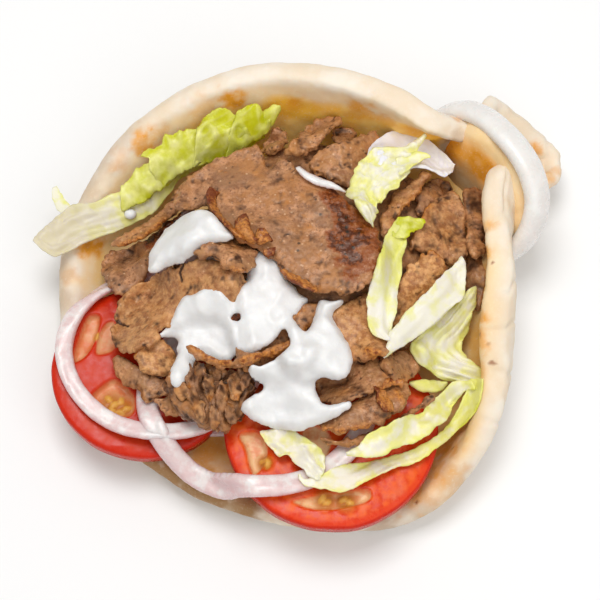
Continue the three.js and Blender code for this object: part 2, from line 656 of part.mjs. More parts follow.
slice("meat_hero", -3, 19, [26, 20, 18, 24, 31, 37, 34, 19, 15, 20, 33, 34], {
  around: 32, rings: [0.3, 0.58, 0.84, 1], ragged: 0.8, thick: 5.6, stiff: 20,
});
slice("meat_upright_right", 34, 28, [5, 14, 8, 5, 6, 14, 6, 5], { ...bits, around: 18 });
slice("meat_crisp_bit", 1, -16, [5, 7, 5, 5, 6, 6, 8, 5], { ...bits });

// ---------------------------------------------------------------- lettuce on top
leaf("lettuce_ruffled_front", blobPlan({ x: 49, y: -19, reach: [9, 12, 20, 12, 13, 11, 14, 14],
  around: 24, rings: [0.4, 0.75, 1], ragged: 1.2, seed: 31 }),
{ waves: ruffle(2.2, 9, 60, 7), steepest: 0.25, rigid: 0.6, stiff: 10 });
leaf("lettuce_inner_band", stripPlan({ path: [[58, -33, 5], [53, -38, 8], [44, -43, 9],
  [34, -48, 8], [25, -53, 7], [16, -56, 3]], along: 14, ragged: 1, seed: 32 }),
{ waves: ruffle(1.8, 8, 20, 8) });
leaf("lettuce_strip_right", stripPlan({ path: [[41, 18, 4], [35, 18, 9], [31, 10, 10], [28, -3, 9],
  [27, -14, 8], [26, -23, 6]], along: 14, ragged: 0.6, seed: 35 }), { waves: ruffle(1.2, 12, 80, 2) });
leaf("lettuce_wedge", stripPlan({ path: [[55, 8, 2.5], [49, -2, 11], [40, -12, 12], [32, -23, 5]],
  along: 12, ragged: 0.7, seed: 36 }), { waves: ruffle(0.9, 16, 40, 3), steepest: 0.3, rigid: 0.6,
  stiff: 12 });
leaf("lettuce_white_leaf", blobPlan({ x: 40.5, y: 47, reach: [15, 10, 7, 9, 15, 10, 8, 10],
  around: 20, rings: [0.5, 0.82, 1], ragged: 0.5, seed: 37 }), { waves: ruffle(1.4, 14, 10, 4) },
COLOURS.leaf_pale);
leaf("lettuce_yellow_leaf", stripPlan({ path: [[45, 42, 2], [38, 41, 8], [31, 37, 12], [24, 30, 13],
  [23, 22, 9], [26, 16, 3]], along: 14, across: 4, ragged: 1.2, seed: 38 }),
{ waves: ruffle(2, 7, 50, 5) });

settle("onion_sliver", COLOURS.onion, stripPlan({ path: [[-1, 39, 2], [3, 35, 3.4], [10, 32, 3.8],
  [16, 30, 2.4]], along: 8, across: 2, ragged: 0.1, seed: 41 }),
{ stiff: 4, rigid: 0.2, thick: (inside) => 1 + 1.2 * inside });

// ---------------------------------------------------------------- yoghurt sauce
const sauce = (name, x, y, reach, thick = SAUCE_THICKNESS, around = 18) => settle(
  name,
  COLOURS.sauce,
  blobPlan({ x, y, reach, around, rings: [0.5, 0.84, 1], ragged: 0.7,
    seed: Math.round(31 * Math.abs(x - 2 * y)) }),
  {
    stiff: 8,
    rigid: 0.05,
    level: 8,
    least: 0.8,
    thick: (inside) => 0.9 + thick * Math.sqrt(Math.min(1, 1.2 * inside)),
  },
);
sauce("sauce_left", -39, 15, [18, 13, 12, 11, 13, 16, 11, 9]);
sauce("sauce_low_left", -39, -30, [5, 6, 9, 6, 4, 9, 8, 5], 2.6, 16);
sauce("sauce_middle_left", -30, -20, [11, 11, 11, 15, 11, 10, 9, 13]);
settle("meat_crisp_strip", COLOURS.meat, stripPlan({ path: [[-38, -26, 2.5], [-29, -31, 4],
  [-20, -31, 4.6], [-12, -29, 4.4], [0, -23, 2.5]], along: 10, across: 2, ragged: 0.7, seed: 43 }),
{ stiff: 4, rigid: 0.2, thick: (inside) => 1.6 + 1.6 * inside });
sauce("sauce_front", -3.5, -37, [20, 12, 15, 14, 15, 13, 10, 13]);
sauce("sauce_middle", -11, -11, [13, 9, 18, 9, 11, 13, 14, 12], 3.8);
sauce("sauce_drop", 8, -28, [9, 9, 16, 9, 9, 11, 9, 11], 4.2);

// ---------------------------------------------------------------- origin
// The middle of the sandwich's footprint, on the table.
const box = new THREE.Box3().setFromObject(group);
group.position.set(-(box.min.x + box.max.x) / 2, -(box.min.y + box.max.y) / 2, -box.min.z);

export default group;
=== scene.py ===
"""Looks of the doner kebab sandwich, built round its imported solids.

Each piece of food is rebuilt from the solid that holds its place: the solid gives where the piece
lies, how it slopes and its outline, and this script adds crumb, ruffles, seeds and browning.
Lengths are millimetres, and turn into metres where an object is made. All draws are seeded.
"""

import math

import bpy
import numpy as np
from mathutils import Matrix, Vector
from mathutils.bvhtree import BVHTree


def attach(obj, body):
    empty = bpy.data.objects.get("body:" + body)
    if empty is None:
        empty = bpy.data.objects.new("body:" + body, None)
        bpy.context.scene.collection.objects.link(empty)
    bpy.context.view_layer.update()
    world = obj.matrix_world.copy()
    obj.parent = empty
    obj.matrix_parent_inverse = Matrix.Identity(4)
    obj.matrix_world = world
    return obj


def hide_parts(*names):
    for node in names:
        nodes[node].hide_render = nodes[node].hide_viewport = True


MM = 0.001                     # metres in a millimetre

# The view: the middle of the picture looks at this point, from this far and this high.
LOOK_AT = np.array([-1.44, 0.68, 22.0])
VIEW_DISTANCE = 620.0
VIEW_ELEVATION = 70.0
PIXEL = 0.35                   # width of a pixel at that point
PICTURE = 600                  # pixels on each side

SKY = 200                      # a height over everything
TINY = 1e-9                    # keeps a division from dividing by nothing
BLOCK = 4000                   # points worked on at once

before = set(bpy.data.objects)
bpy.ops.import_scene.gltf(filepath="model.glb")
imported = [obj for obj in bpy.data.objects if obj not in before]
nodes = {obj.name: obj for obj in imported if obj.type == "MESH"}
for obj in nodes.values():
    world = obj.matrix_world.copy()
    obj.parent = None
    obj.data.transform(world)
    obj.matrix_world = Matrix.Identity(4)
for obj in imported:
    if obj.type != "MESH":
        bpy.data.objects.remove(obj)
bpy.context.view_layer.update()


# ---------------------------------------------------------------- noise
GRADIENTS = np.random.RandomState(7).normal(size=(256, 3))
GRADIENTS /= np.linalg.norm(GRADIENTS, axis=1)[:, None]
SHUFFLE = np.random.RandomState(8).permutation(256)
SCATTER = np.random.RandomState(9).uniform(size=(256, 3))
CORNERS = [(i, j, k) for i in (0, 1) for j in (0, 1) for k in (0, 1)]
AROUND = [(i, j, k) for i in (-1, 0, 1) for j in (-1, 0, 1) for k in (-1, 0, 1)]


def mixed(cell, seed):
    """A number from 0 to 255 for each cell."""
    row = SHUFFLE[(cell[:, 0] + 31 * seed) & 255]
    row = SHUFFLE[(row + cell[:, 1]) & 255]
    return SHUFFLE[(row + cell[:, 2]) & 255]


def noise(points, size, seed):
    """Smooth noise, about -1 to 1, with lumps of that size."""
    place = points / size
    cell = np.floor(place).astype(int)
    part = place - cell
    ease = part ** 3 * (part * (part * 6 - 15) + 10)
    total = np.zeros(len(points))
    for corner in CORNERS:
        pull = GRADIENTS[mixed(cell + corner, seed)]
        weight = np.prod(np.where(corner, ease, 1 - ease), axis=1)
        total += weight * np.einsum("ij,ij->i", pull, part - corner)
    return total * 1.6


def layered(points, size, seed):
    """Noise with two finer layers of lumps added."""
    return sum(0.5 ** k * noise(points, size / 2 ** k, seed + 11 * k) for k in range(3))


def pebbles(points, size, seed):
    """Distance to the nearest of scattered points, and how far the second nearest is beyond it."""
    place = points / size
    cell = np.floor(place).astype(int)
    first = np.full(len(points), 9.0)
    second = first.copy()
    for step in AROUND:
        there = cell + step
        far = np.linalg.norm(there + SCATTER[mixed(there, seed)] - place, axis=1)
        second = np.minimum(second, np.maximum(first, far))
        first = np.minimum(first, far)
    return first, second - first


def seed_of(name):
    """A number of its own for each name."""
    return sum(map(ord, name))


def ramp(value, low, high):
    """0 below low, 1 above high, eased in between."""
    t = np.clip((value - low) / (high - low), 0, 1)
    return t * t * (3 - 2 * t)


def bell(far, width):
    """1 where far is 0, falling off over that width."""
    return np.exp(-(far / width) ** 2)


def nearness(points, place, radius):
    """1 at a place, falling off over that radius."""
    return np.exp(-((points - place) ** 2).sum(axis=1) / radius ** 2)


def flattened(points, z=0.0):
    """The points moved to one height."""
    return np.column_stack([points[:, :2], np.full(len(points), z)])


# ---------------------------------------------------------------- meshes
def cad_mesh(node):
    """Points and triangles of a CAD node, with shared corners merged."""
    mesh = nodes[node].data
    co = np.empty(len(mesh.vertices) * 3)
    mesh.vertices.foreach_get("co", co)
    corner = np.empty(len(mesh.loops), int)
    mesh.loops.foreach_get("vertex_index", corner)
    points, merged = np.unique(np.round(co.reshape(-1, 3) / MM, 3), axis=0, return_inverse=True)
    return points, merged.reshape(-1)[corner].reshape(-1, 3)


def new_mesh(name, points, faces):
    mesh = bpy.data.meshes.new(name)
    mesh.vertices.add(len(points))
    mesh.vertices.foreach_set("co", np.asarray(points, np.float32).ravel())
    mesh.loops.add(faces.size)
    mesh.loops.foreach_set("vertex_index", faces.ravel().astype(np.int32))
    mesh.polygons.add(len(faces))
    mesh.polygons.foreach_set("loop_start", np.arange(0, faces.size, faces.shape[1], dtype=np.int32))
    mesh.update(calc_edges=True)
    return mesh


def added(name, data):
    """A new object, in the scene."""
    made = bpy.data.objects.new(name, data)
    bpy.context.scene.collection.objects.link(made)
    return made


def reworked(points, faces, *modifiers):
    """Points and quads of a mesh after these modifiers."""
    mesh = new_mesh("work", points, faces)
    work = added("work", mesh)
    for kind, settings in modifiers:
        modifier = work.modifiers.new(kind, kind)
        for key, value in settings.items():
            setattr(modifier, key, value)
    bpy.context.view_layer.update()
    made = work.evaluated_get(bpy.context.evaluated_depsgraph_get()).to_mesh()
    co = np.empty(len(made.vertices) * 3, np.float32)
    made.vertices.foreach_get("co", co)
    corner = np.empty(len(made.loops), np.int32)
    made.loops.foreach_get("vertex_index", corner)
    bpy.data.objects.remove(work)
    bpy.data.meshes.remove(mesh)
    return co.reshape(-1, 3).astype(float), corner.reshape(-1, 4).astype(int)


def evened(points, faces, voxel, levels=0):
    """The mesh laid out again in even quads of about that size. With levels it is rounded off
    first, without shrinking."""
    if levels:
        aim, count = points, len(points)
        for _ in range(2):
            rounded, _ = reworked(points, faces, ("SUBSURF", {"levels": levels}))
            points = points + aim - rounded[:count]
    return reworked(points, faces, ("SUBSURF", {"levels": levels}),
                    ("REMESH", {"mode": "VOXEL", "voxel_size": voxel}))


def edges_of(faces):
    """The edges of each face, in its direction."""
    side = faces.shape[1]
    return np.concatenate([faces[:, [k, (k + 1) % side]] for k in range(side)])


def open_edges(faces):
    """The edges that only one face has."""
    edges = edges_of(faces).tolist()
    known = set(map(tuple, edges))
    return [(i, j) for i, j in edges if (j, i) not in known]


def normals(points, faces):
    flat = np.cross(points[faces[:, 2]] - points[faces[:, 0]], points[faces[:, -1]] - points[faces[:, 1]])
    total = np.zeros_like(points)
    for k in range(faces.shape[1]):
        np.add.at(total, faces[:, k], flat)
    return total / np.maximum(np.linalg.norm(total, axis=1), 1e-12)[:, None]


def relaxed(points, faces, rounds, in_out=(0.5, -0.53)):
    """Points smoothed by turns towards and away from the mean of their neighbours."""
    here, there = edges_of(faces).T
    count = np.bincount(here, minlength=len(points)).astype(float)
    for share in in_out * rounds:
        mean = np.stack([np.bincount(here, points[there, k], len(points)) for k in range(3)],
                        axis=1) / np.maximum(count, 1)[:, None]
        points = points + share * (mean - points)
    return points


def joined(parts):
    """Several meshes as one."""
    before = np.cumsum([0] + [len(points) for points, _ in parts])
    return (np.concatenate([points for points, _ in parts]),
            np.concatenate([faces + count for (_, faces), count in zip(parts, before)]))


def tree_of(points, faces):
    return BVHTree.FromPolygons(points.tolist(), faces.tolist())


def from_above(tree, x, y):
    """Where a mesh is met from above, if it is."""
    return tree.ray_cast(Vector((x, y, SKY)), Vector((0, 0, -1)))[0]


# ---------------------------------------------------------------- the view
def view_axes():
    """The ways out of the picture, to its right and up in it."""
    lean = math.radians(VIEW_ELEVATION)
    back = np.array([0.0, -math.cos(lean), math.sin(lean)])
    right = np.array([1.0, 0.0, 0.0])
    return back, right, np.cross(back, right)


def at_height(px, py, z):
    """The point of the plan that a pixel of the picture shows at that height."""
    back, right, up = view_axes()
    half = PICTURE / 2
    ray = -back * VIEW_DISTANCE + right * (px - half) * PIXEL + up * (half - py) * PIXEL
    eye = LOOK_AT + back * VIEW_DISTANCE
    return (eye + ray * (z - eye[2]) / ray[2])[:2]


def raised(pixels):
    """The points that show at pixels whose heights are given."""
    return np.array([(*at_height(px, py, z), z) for px, py, z in pixels])


def struck(tree, px, py):
    """Where the ray through a pixel of the picture meets a mesh."""
    eye = LOOK_AT + view_axes()[0] * VIEW_DISTANCE
    aim = np.array([*at_height(px, py, 0), 0]) - eye
    return tree.ray_cast(Vector(eye), Vector(aim).normalized())[0]


def add_camera():
    back, _, _ = view_axes()
    data = bpy.data.cameras.new("camera")
    data.sensor_width = 36
    data.lens = data.sensor_width * VIEW_DISTANCE / (PIXEL * PICTURE)
    data.clip_start, data.clip_end = 0.05, 10
    camera = added("camera", data)
    camera.location = Vector((LOOK_AT + back * VIEW_DISTANCE) * MM)
    camera.rotation_euler = Vector(-back).to_track_quat("-Z", "Y").to_euler()
    bpy.context.scene.camera = camera


# ---------------------------------------------------------------- pieces laid in plan
class Solid:
    """The top of a CAD node: its outline in plan, anticlockwise, and its height."""

    def __init__(self, name):
        points, triangles = cad_mesh(name)
        a, b, c = (points[triangles[:, k]] for k in range(3))
        rising = triangles[np.cross(b - a, c - a)[:, 2] > 1e-6]
        self.tree = tree_of(points, rising)
        self.level = points[rising].mean(axis=(0, 1))[2]
        self.points, self.rising = points, rising

    def outline(self):
        """The longest loop round the top."""
        after = dict(open_edges(self.rising))
        longest = []
        while after:
            loop = [next(iter(after))]
            while loop[-1] in after:
                loop.append(after.pop(loop[-1]))
            longest = max(longest, loop[:-1], key=len)
        return self.points[longest][:, :2]

    def height(self, x, y):
        """The top over a point of the plan, carried on level past the solid's edge."""
        hit = from_above(self.tree, x, y)
        return (hit or self.tree.find_nearest(Vector((x, y, self.level)))[0]).z

    def under(self, pixels, lift=0.0):
        """Points of the plan that show at these pixels of the picture, that far over the top."""
        found = []
        for px, py in pixels:
            z = self.level
            for _ in range(4):
                x, y = at_height(px, py, z + lift)
                z = self.height(x, y)
            found.append((x, y))
        return np.array(found)

    def placed(self, spots):
        """Spots that start with a pixel, with the point of the plan in its place."""
        return [(*self.under([(px, py)])[0], *rest) for px, py, *rest in spots]


class HeightMap:
    """Heights on an even grid of the plan, read off between its points too."""

    def __init__(self, low, step, grid):
        self.low, self.step, self.grid = low, step, grid

    def __call__(self, plan):
        place = (plan[:, :2] - self.low) / self.step
        place = np.clip(place, 0, np.array(self.grid.shape[::-1]) - 1.001)     # just inside the last cell
        i, j = place.astype(int).T
        u, v = (place - place.astype(int)).T
        g = self.grid
        return ((g[j, i] * (1 - u) + g[j, i + 1] * u) * (1 - v)
                + (g[j + 1, i] * (1 - u) + g[j + 1, i + 1] * u) * v)


def neighbours(grid):
    """The grid moved by one step each way."""
    edged = np.pad(grid, 1, mode="edge")
    return edged[:-2, 1:-1], edged[2:, 1:-1], edged[1:-1, :-2], edged[1:-1, 2:]


def top_of(solid, low, high, step=1.5, rounds=2):
    """The top of a solid, a little smoothed."""
    columns, rows = np.ceil((high - low) / step).astype(int) + 2
    grid = np.array([[solid.height(low[0] + i * step, low[1] + j * step) for i in range(columns)]
                     for j in range(rows)])
    for _ in range(rounds):
        grid = sum(neighbours(grid), 4 * grid) / 8
    return HeightMap(low, step, grid)


def rounded_outline(outline, rounds=1):
    """The outline with its corners cut, once or more."""
    for _ in range(rounds):
        after = np.roll(outline, -1, axis=0)
        outline = np.stack([0.78 * outline + 0.22 * after, 0.22 * outline + 0.78 * after], axis=1)
        outline = outline.reshape(-1, 2)
    return outline


def in_blocks(work, plan):
    return np.concatenate([work(plan[k:k + BLOCK]) for k in range(0, len(plan), BLOCK)])


def from_segments(plan, begin, run):
    """How far each point of the plan is from the nearest of some segments."""
    length = np.maximum(np.einsum("ij,ij->i", run, run), TINY)

    def gap(some):
        x, y = (some[:, k:k + 1] - begin[:, k] for k in (0, 1))
        t = np.clip((x * run[:, 0] + y * run[:, 1]) / length, 0, 1)
        return np.sqrt(((x - t * run[:, 0]) ** 2 + (y - t * run[:, 1]) ** 2).min(axis=1))

    return in_blocks(gap, plan)


def from_lines(plan, lines):
    """How far each point of the plan is from the nearest of several lines of points."""
    return from_segments(plan, np.concatenate([line[:-1] for line in lines]),
                         np.concatenate([np.diff(line, axis=0) for line in lines]))


def inside(plan, outline):
    """How far each point of the plan lies inside an outline, negative outside it."""
    after = np.roll(outline, -1, axis=0)
    run = after - outline

    def turns(some):
        x, y = (some[:, k:k + 1] - outline[:, k] for k in (0, 1))
        below, above = y >= 0, after[:, 1] > some[:, 1:2]
        side = run[:, 0] * y - run[:, 1] * x
        return (below & above & (side > 0)).sum(axis=1) - (~below & ~above & (side < 0)).sum(axis=1)

    gap = from_segments(plan, outline, run)
    return np.where(in_blocks(turns, plan) != 0, gap, -gap)


def rounding(depth, width):
    """How far a rounded edge of that width has dropped: 1 at the edge, 0 past the width."""
    return 1 - np.sqrt(1 - (1 - np.minimum(depth / width, 1)) ** 2)


def sheet(low, high, step, deep, top, bottom):
    """A closed sheet over the part of the plan where deep(points) is above 0, between two heights.
    top and bottom are functions of the points in plan and of their depth inside the edge."""
    x, y = (np.arange(low[k], high[k] + step, step) for k in (0, 1))
    plan = np.stack(np.meshgrid(x, y), axis=-1)
    rows, columns = plan.shape[:2]
    flat = plan.reshape(-1, 2)
    depth = deep(flat)
    field = depth.reshape(rows, columns)
    kept = (field[:-1, :-1] + field[1:, :-1] + field[:-1, 1:] + field[1:, 1:]) > 0
    corner = np.arange(rows * columns).reshape(rows, columns)
    quads = np.stack([corner[:-1, :-1][kept], corner[:-1, 1:][kept],
                      corner[1:, 1:][kept], corner[1:, :-1][kept]], axis=1)
    shared = np.bincount(quads.ravel(), minlength=rows * columns)
    border = (shared > 0) & (shared < 4)
    # The points along the border move onto the edge.
    slope = np.stack([g.ravel() for g in np.gradient(field, step)][::-1], axis=1)
    steep = np.maximum(np.einsum("ij,ij->i", slope, slope), 0.25)
    shift = np.clip(-depth / steep, -step, step)[:, None] * slope
    flat = flat + np.where(border[:, None], shift, 0)
    depth = np.where(border, 0, depth)

    used = np.flatnonzero(shared)
    new = np.full(rows * columns, -1)
    new[used] = np.arange(len(used))
    quads, flat, depth = new[quads], flat[used], np.maximum(depth[used], 0)
    upper = np.column_stack([flat, top(flat, depth)])
    lower = np.column_stack([flat, bottom(flat, depth)])
    wall = np.array(open_edges(quads))[:, ::-1]
    count = len(used)
    sides = np.column_stack([wall[:, 0], wall[:, 1], wall[:, 1] + count, wall[:, 0] + count])
    return np.concatenate([upper, lower]), np.concatenate([quads, quads[:, ::-1] + count, sides])


# ---------------------------------------------------------------- materials
MIX_SHARE, MIX_A, MIX_B = 0, 6, 7      # the inputs of a Mix node that mixes colours


class Paint:
    """A node material, with short ways to write its noise, its layers of colour and its bumps."""

    def __init__(self, name, **principled):
        self.material = bpy.data.materials.new(name)
        self.material.use_nodes = True
        self.tree = self.material.node_tree
        self.shader = self.tree.nodes["Principled BSDF"]
        for key, value in principled.items():
            self.shader.inputs[key.replace("_", " ")].default_value = value
        self.where = self.node("TexCoord").outputs["Object"]
        self.colour = None

    def node(self, kind, inputs=(), **settings):
        """A shader node with its settings, and its inputs set or linked by name or number."""
        made = self.tree.nodes.new("ShaderNode" + kind)
        for key, value in settings.items():
            setattr(made, key, value)
        for key, value in dict(inputs).items():
            if isinstance(value, bpy.types.NodeSocket):
                self.tree.links.new(value, made.inputs[key])
            else:
                made.inputs[key].default_value = value
        return made

    def shade(self, name):
        """A shade that the piece itself gives."""
        return self.node("Attribute", attribute_name=name).outputs["Fac"]

    def noise(self, size, detail=3, rough=0.55):
        """Noise with lumps of that size in millimetres."""
        return self.node("TexNoise", {"Vector": self.where, "Scale": 1 / (size * MM), "Detail": detail,
                                      "Roughness": rough}).outputs["Fac"]

    def remap(self, value, low, high, to_low=0.0, to_high=1.0):
        return self.node("MapRange", {"Value": value, "From Min": low, "From Max": high,
                                      "To Min": to_low, "To Max": to_high},
                         interpolation_type="SMOOTHSTEP").outputs[0]

    def lumps(self, size, low, high, to_low=0.0, to_high=1.0, detail=3, rough=0.55):
        return self.remap(self.noise(size, detail, rough), low, high, to_low, to_high)

    def spots(self, size, outer, inner):
        """Round spots spaced by that size in millimetres, with their edge from outer to inner."""
        found = self.node("TexVoronoi", {"Vector": self.where, "Scale": 1 / (size * MM)})
        return self.remap(found.outputs["Distance"], outer, inner)

    def math(self, operation, a, b):
        return self.node("Math", {0: a, 1: b}, operation=operation).outputs[0]

    def times(self, a, b):
        return self.math("MULTIPLY", a, b)

    def mix(self, share, a, b):
        a, b = ((*colour, 1) if isinstance(colour, tuple) else colour for colour in (a, b))
        return self.node("Mix", {MIX_SHARE: share, MIX_A: a, MIX_B: b}, data_type="RGBA").outputs[2]

    def coat(self, share, colour):
        """Another colour over the colour so far."""
        self.colour = self.mix(share, self.colour, colour)

    def bump(self, height, depth, strength, under=None):
        """A bump that deep in millimetres, on top of another one."""
        inputs = {"Height": height, "Distance": depth * MM, "Strength": strength}
        if under is not None:
            inputs["Normal"] = under
        return self.node("Bump", inputs).outputs[0]

    def finish(self, roughness, normal):
        links = {"Base Color": self.colour, "Roughness": roughness, "Normal": normal}
        for key, value in links.items():
            self.tree.links.new(value, self.shader.inputs[key])
        return self.material


def meat_material():
    paint = Paint("meat", Specular_IOR_Level=0.42, Specular_Tint=(1.0, 0.86, 0.72, 1.0),
                  Coat_Weight=0.12, Coat_Roughness=0.22, Subsurface_Weight=0.05,
                  Subsurface_Radius=(0.002, 0.0009, 0.0005), Subsurface_Scale=1.0)
    patches = paint.noise(9)
    paint.colour = paint.mix(paint.lumps(3.6, 0.34, 0.64, detail=4, rough=0.62),
                             (0.25, 0.102, 0.043), (0.57, 0.275, 0.135))
    paint.coat(paint.lumps(0.9, 0.50, 0.32, 0.0, 0.72, 4, 0.7), (0.13, 0.048, 0.020))
    paint.coat(paint.remap(patches, 0.42, 0.62, 0.0, 0.8), (0.42, 0.175, 0.055))
    paint.coat(paint.lumps(13, 0.46, 0.60, 0.0, 0.6), (0.25, 0.125, 0.068))
    fat = paint.spots(2.6, 0.19, 0.06)
    paint.coat(fat, (0.64, 0.39, 0.23))
    rusty = paint.times(paint.spots(5.5, 0.26, 0.12), paint.remap(patches, 0.5, 0.6))
    paint.coat(paint.times(rusty, 0.6), (0.52, 0.20, 0.05))
    pepper = paint.times(paint.spots(4.4, 0.17, 0.08), paint.lumps(4, 0.43, 0.5, detail=1))
    paint.coat(pepper, (0.035, 0.022, 0.016))
    warm = paint.times(paint.shade("tone"), paint.lumps(5, 0.3, 0.6, 0.6, 1.0))
    paint.coat(warm, paint.mix(paint.lumps(2.4, 0.36, 0.64, detail=4, rough=0.62),
                               (0.38, 0.135, 0.034), (0.82, 0.420, 0.155)))
    # Painted shade: where the relief is low (pits, splits, cuts, the low parts of shreds) and where a slice's
    # dark lowers it, the colour goes near-black brown.
    low = paint.remap(paint.shade("relief"), 0.0, 0.55)
    paint.colour = paint.mix(low, (0.060, 0.022, 0.010), paint.colour)
    crisp = paint.times(paint.shade("crisp"), paint.lumps(1.6, 0.25, 0.5, 0.6, 1.0))
    brown = paint.mix(paint.lumps(1.1, 0.35, 0.65, detail=4, rough=0.7), (0.26, 0.062, 0.009),
                      (0.66, 0.255, 0.045))
    paint.coat(paint.remap(crisp, 0.0, 0.9), brown)
    paint.coat(paint.remap(crisp, 0.72, 1.0, 0.0, 0.85), (0.13, 0.016, 0.003))
    char = paint.times(paint.shade("char"), paint.lumps(1.7, 0.34, 0.60, 0.45, 1.35, 5, 0.75))
    paint.coat(paint.remap(char, 0.0, 0.5), (0.265, 0.064, 0.010))
    paint.coat(paint.remap(char, 0.45, 1.0), (0.085, 0.016, 0.003))
    paint.coat(paint.times(paint.remap(char, 0.6, 1.0), paint.spots(3.0, 0.28, 0.12)), (0.012, 0.008, 0.006))
    rough = paint.lumps(2.2, 0.35, 0.65, 0.27, 0.58, detail=2)
    rough = paint.math("SUBTRACT", rough, paint.remap(char, 0.1, 0.8, 0.0, 0.14))
    bump = paint.bump(paint.noise(1.1, 4, 0.65), 0.30, 1.0)
    return paint.finish(rough, paint.bump(paint.noise(3.2, 3, 0.6), 0.7, 0.7, bump))


def bread_material():
    paint = Paint("bread", Specular_IOR_Level=0.3, Subsurface_Weight=0.15,
                  Subsurface_Radius=(0.004, 0.0025, 0.0015), Subsurface_Scale=1.0)
    clouds = paint.noise(14)
    paint.colour = paint.mix(paint.remap(clouds, 0.35, 0.7), (0.81, 0.67, 0.50), (0.86, 0.78, 0.67))
    golden = paint.mix(paint.lumps(18, 0.38, 0.62), (0.93, 0.51, 0.050), (0.94, 0.61, 0.19))
    paint.coat(paint.shade("golden"), golden)
    # Painted shade: the tan shade darkens the bread to brown under the bread, inside the right wall, by the
    # rim's end and on the neck fold, and browns it a little elsewhere.
    tan = paint.times(paint.shade("tan"), paint.remap(clouds, 0.25, 0.65, 0.7, 1.1))
    paint.coat(tan, (0.38, 0.205, 0.08))
    # toast is mostly toasting, and also painted shade inside the right wall and painted shadow under the long
    # leaf.
    toast = paint.times(paint.shade("toast"), paint.lumps(6, 0.3, 0.7, 0.7, 1.2))
    paint.coat(paint.times(toast, 1.1), (0.80, 0.34, 0.025))
    paint.coat(paint.remap(toast, 0.8, 1.5, 0.0, 0.5), (0.38, 0.11, 0.015))
    paint.coat(paint.shade("speck"), (0.27, 0.06, 0.010))
    flour = paint.lumps(0.8, 0.55, 0.75, 0.0, 0.2, detail=2)
    paint.coat(flour, (0.90, 0.83, 0.73))
    bump = paint.bump(paint.noise(1.4, 4, 0.6), 0.10, 0.6)
    bump = paint.bump(paint.noise(9, 2), 0.4, 0.5, bump)
    return paint.finish(paint.lumps(2.5, 0.3, 0.7, 0.55, 0.75), bump)


def sauce_material():
    paint = Paint("sauce", Specular_IOR_Level=0.5, Subsurface_Weight=0.25,
                  Subsurface_Radius=(0.003, 0.0025, 0.002), Subsurface_Scale=1.0)
    paint.colour = paint.mix(paint.lumps(6, 0.3, 0.7, detail=2), (0.77, 0.765, 0.755), (0.82, 0.815, 0.81))
    return paint.finish(paint.lumps(2.0, 0.3, 0.7, 0.36, 0.5, detail=2),
                        paint.bump(paint.noise(2.2, 4, 0.6), 0.3, 0.7))


def leaf_material():
    paint = Paint("lettuce", Specular_IOR_Level=0.32, Subsurface_Weight=0.35,
                  Subsurface_Radius=(0.003, 0.003, 0.001), Subsurface_Scale=1.0)
    green = paint.math("ADD", paint.shade("green"), paint.lumps(5, 0.32, 0.68, -0.20, 0.14, detail=4))
    paint.colour = paint.mix(paint.remap(green, 0.0, 0.45), (0.92, 0.88, 0.68), (0.86, 0.84, 0.24))
    paint.coat(paint.remap(green, 0.4, 0.95), (0.58, 0.60, 0.010))
    paint.coat(paint.remap(green, -0.3, -0.6), (0.93, 0.92, 0.87))
    paint.coat(paint.remap(paint.shade("fold"), 0.55, 1.0, 0.0, 0.10), (0.90, 0.88, 0.66))
    # Painted shade: dim greys the leaf where it lies in shade.
    paint.coat(paint.shade("dim"), (0.56, 0.47, 0.36))
    return paint.finish(paint.lumps(3, 0.3, 0.7, 0.28, 0.5, detail=2),
                        paint.bump(paint.noise(1.8), 0.12, 0.6))


def tomato_material():
    paint = Paint("tomato", Specular_IOR_Level=0.2, Subsurface_Weight=0.1,
                  Subsurface_Radius=(0.004, 0.0010, 0.0005), Subsurface_Scale=1.0)
    grain = paint.noise(3.0)
    ripe = paint.shade("ripe")
    paint.colour = paint.mix(paint.remap(grain, 0.3, 0.7), (0.66, 0.036, 0.004), (0.82, 0.115, 0.012))
    paint.coat(paint.times(paint.lumps(9, 0.5, 0.68, detail=2), 0.2), (0.74, 0.28, 0.16))
    paint.coat(paint.times(paint.shade("wall"), 0.75), (0.72, 0.036, 0.004))
    paint.coat(paint.times(ripe, 0.8), (0.54, 0.018, 0.003))
    tan = paint.mix(paint.lumps(5, 0.4, 0.62), (0.82, 0.52, 0.27), (0.74, 0.28, 0.12))
    paint.coat(paint.shade("hollow"), paint.mix(paint.times(ripe, 0.45), tan, (0.62, 0.13, 0.035)))
    paint.coat(paint.times(paint.shade("gel"), 0.9), (0.46, 0.15, 0.012))
    paint.coat(paint.shade("seed"), (0.70, 0.36, 0.07))
    paint.coat(paint.shade("skin"), (0.60, 0.022, 0.006))
    return paint.finish(paint.remap(grain, 0.3, 0.7, 0.2, 0.4), paint.bump(grain, 0.12, 0.5))


def onion_material():
    paint = Paint("onion", Specular_IOR_Level=0.5, Subsurface_Weight=0.5,
                  Subsurface_Radius=(0.005, 0.004, 0.0035), Subsurface_Scale=1.0)
    paint.colour = paint.mix(paint.lumps(7, 0.35, 0.65, detail=2), (0.78, 0.755, 0.725), (0.83, 0.815, 0.79))
    pink = paint.mix(paint.lumps(4.5, 0.35, 0.65), (0.72, 0.55, 0.54), (0.80, 0.74, 0.72))
    paint.coat(paint.shade("pink"), pink)
    paint.coat(paint.times(paint.shade("side"), 0.6), (0.72, 0.46, 0.47))
    return paint.finish(paint.lumps(3, 0.3, 0.7, 0.22, 0.36, detail=2),
                        paint.bump(paint.noise(4, 2), 0.03, 0.3))


MATERIALS = {"bread": bread_material(), "meat": meat_material(), "sauce": sauce_material(),
             "lettuce": leaf_material(), "tomato": tomato_material(), "onion": onion_material()}


